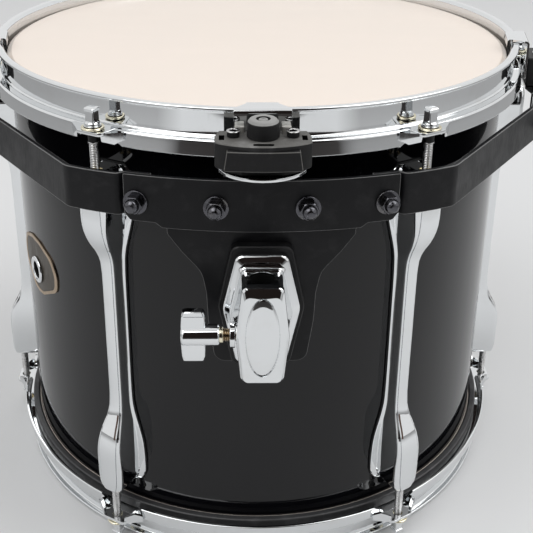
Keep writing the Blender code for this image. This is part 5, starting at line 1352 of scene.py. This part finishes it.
class TOM_OT_rods(bpy.types.Operator):
    """Build the twelve tension rods"""
    bl_idname = "tom.rods"
    bl_label = "Tension rods"
    bl_options = {"REGISTER", "UNDO"}

    def execute(self, context):
        build_rods()
        return {"FINISHED"}


class TOM_OT_lugs(bpy.types.Operator):
    """Build the six lugs"""
    bl_idname = "tom.lugs"
    bl_label = "Lugs"
    bl_options = {"REGISTER", "UNDO"}

    def execute(self, context):
        build_lugs()
        return {"FINISHED"}


class TOM_OT_badge(bpy.types.Operator):
    """Build the badge and the vent eyelet"""
    bl_idname = "tom.badge"
    bl_label = "Badge and vent"
    bl_options = {"REGISTER", "UNDO"}

    def execute(self, context):
        build_badge()
        return {"FINISHED"}


class TOM_OT_band(bpy.types.Operator):
    """Build the band's plates and arms"""
    bl_idname = "tom.band"
    bl_label = "Suspension band"
    bl_options = {"REGISTER", "UNDO"}

    def execute(self, context):
        build_band()
        return {"FINISHED"}


class TOM_OT_bolts(bpy.types.Operator):
    """Build the band's bolts and acorn nuts"""
    bl_idname = "tom.bolts"
    bl_label = "Band bolts"
    bl_options = {"REGISTER", "UNDO"}

    def execute(self, context):
        build_bolts()
        return {"FINISHED"}


class TOM_OT_grip(bpy.types.Operator):
    """Build the grip on the front of the hoop"""
    bl_idname = "tom.grip"
    bl_label = "Front grip"
    bl_options = {"REGISTER", "UNDO"}

    def execute(self, context):
        build_grip()
        return {"FINISHED"}


class TOM_OT_clips(bpy.types.Operator):
    """Build the clips at the band's ends"""
    bl_idname = "tom.clips"
    bl_label = "Side clips"
    bl_options = {"REGISTER", "UNDO"}

    def execute(self, context):
        build_clips()
        return {"FINISHED"}


class TOM_OT_bracket(bpy.types.Operator):
    """Build the holder bracket"""
    bl_idname = "tom.bracket"
    bl_label = "Holder bracket"
    bl_options = {"REGISTER", "UNDO"}

    def execute(self, context):
        build_bracket()
        return {"FINISHED"}


class TOM_OT_clamp(bpy.types.Operator):
    """Build the wing bolt and its shoe"""
    bl_idname = "tom.clamp"
    bl_label = "Wing bolt and shoe"
    bl_options = {"REGISTER", "UNDO"}

    def execute(self, context):
        build_clamp()
        return {"FINISHED"}


class TOM_OT_stage(bpy.types.Operator):
    """Build the floor, the lights and the camera"""
    bl_idname = "tom.stage"
    bl_label = "Stage"
    bl_options = {"REGISTER", "UNDO"}

    def execute(self, context):
        build_stage(context.scene.tom_looks)
        return {"FINISHED"}


STEPS = (
    TOM_OT_finishes, TOM_OT_shell, TOM_OT_hoops, TOM_OT_heads, TOM_OT_rods,
    TOM_OT_lugs, TOM_OT_badge, TOM_OT_band, TOM_OT_bolts, TOM_OT_grip,
    TOM_OT_clips, TOM_OT_bracket, TOM_OT_clamp, TOM_OT_stage)


class TOM_PT_pieces(bpy.types.Panel):
    """The drum's pieces and looks"""
    bl_label = "Tom-tom"
    bl_idname = "TOM_PT_pieces"
    bl_space_type = "VIEW_3D"
    bl_region_type = "UI"
    bl_category = "Tom-tom"

    def draw(self, context):
        for step in STEPS:
            self.layout.operator(step.bl_idname)
        for name in TomLooks.__annotations__:
            self.layout.prop(context.scene.tom_looks, name)


CLASSES = (TomLooks, *STEPS, TOM_PT_pieces)


def register():
    for kind in CLASSES:
        bpy.utils.register_class(kind)
    bpy.types.Scene.tom_looks = bpy.props.PointerProperty(type=TomLooks)


def unregister():
    del bpy.types.Scene.tom_looks
    for kind in reversed(CLASSES):
        bpy.utils.unregister_class(kind)


def main():
    """Build the whole drum."""
    register()
    for step in STEPS:
        group, name = step.bl_idname.split(".")
        getattr(getattr(bpy.ops, group), name)()


if __name__ == "__main__":
    main()
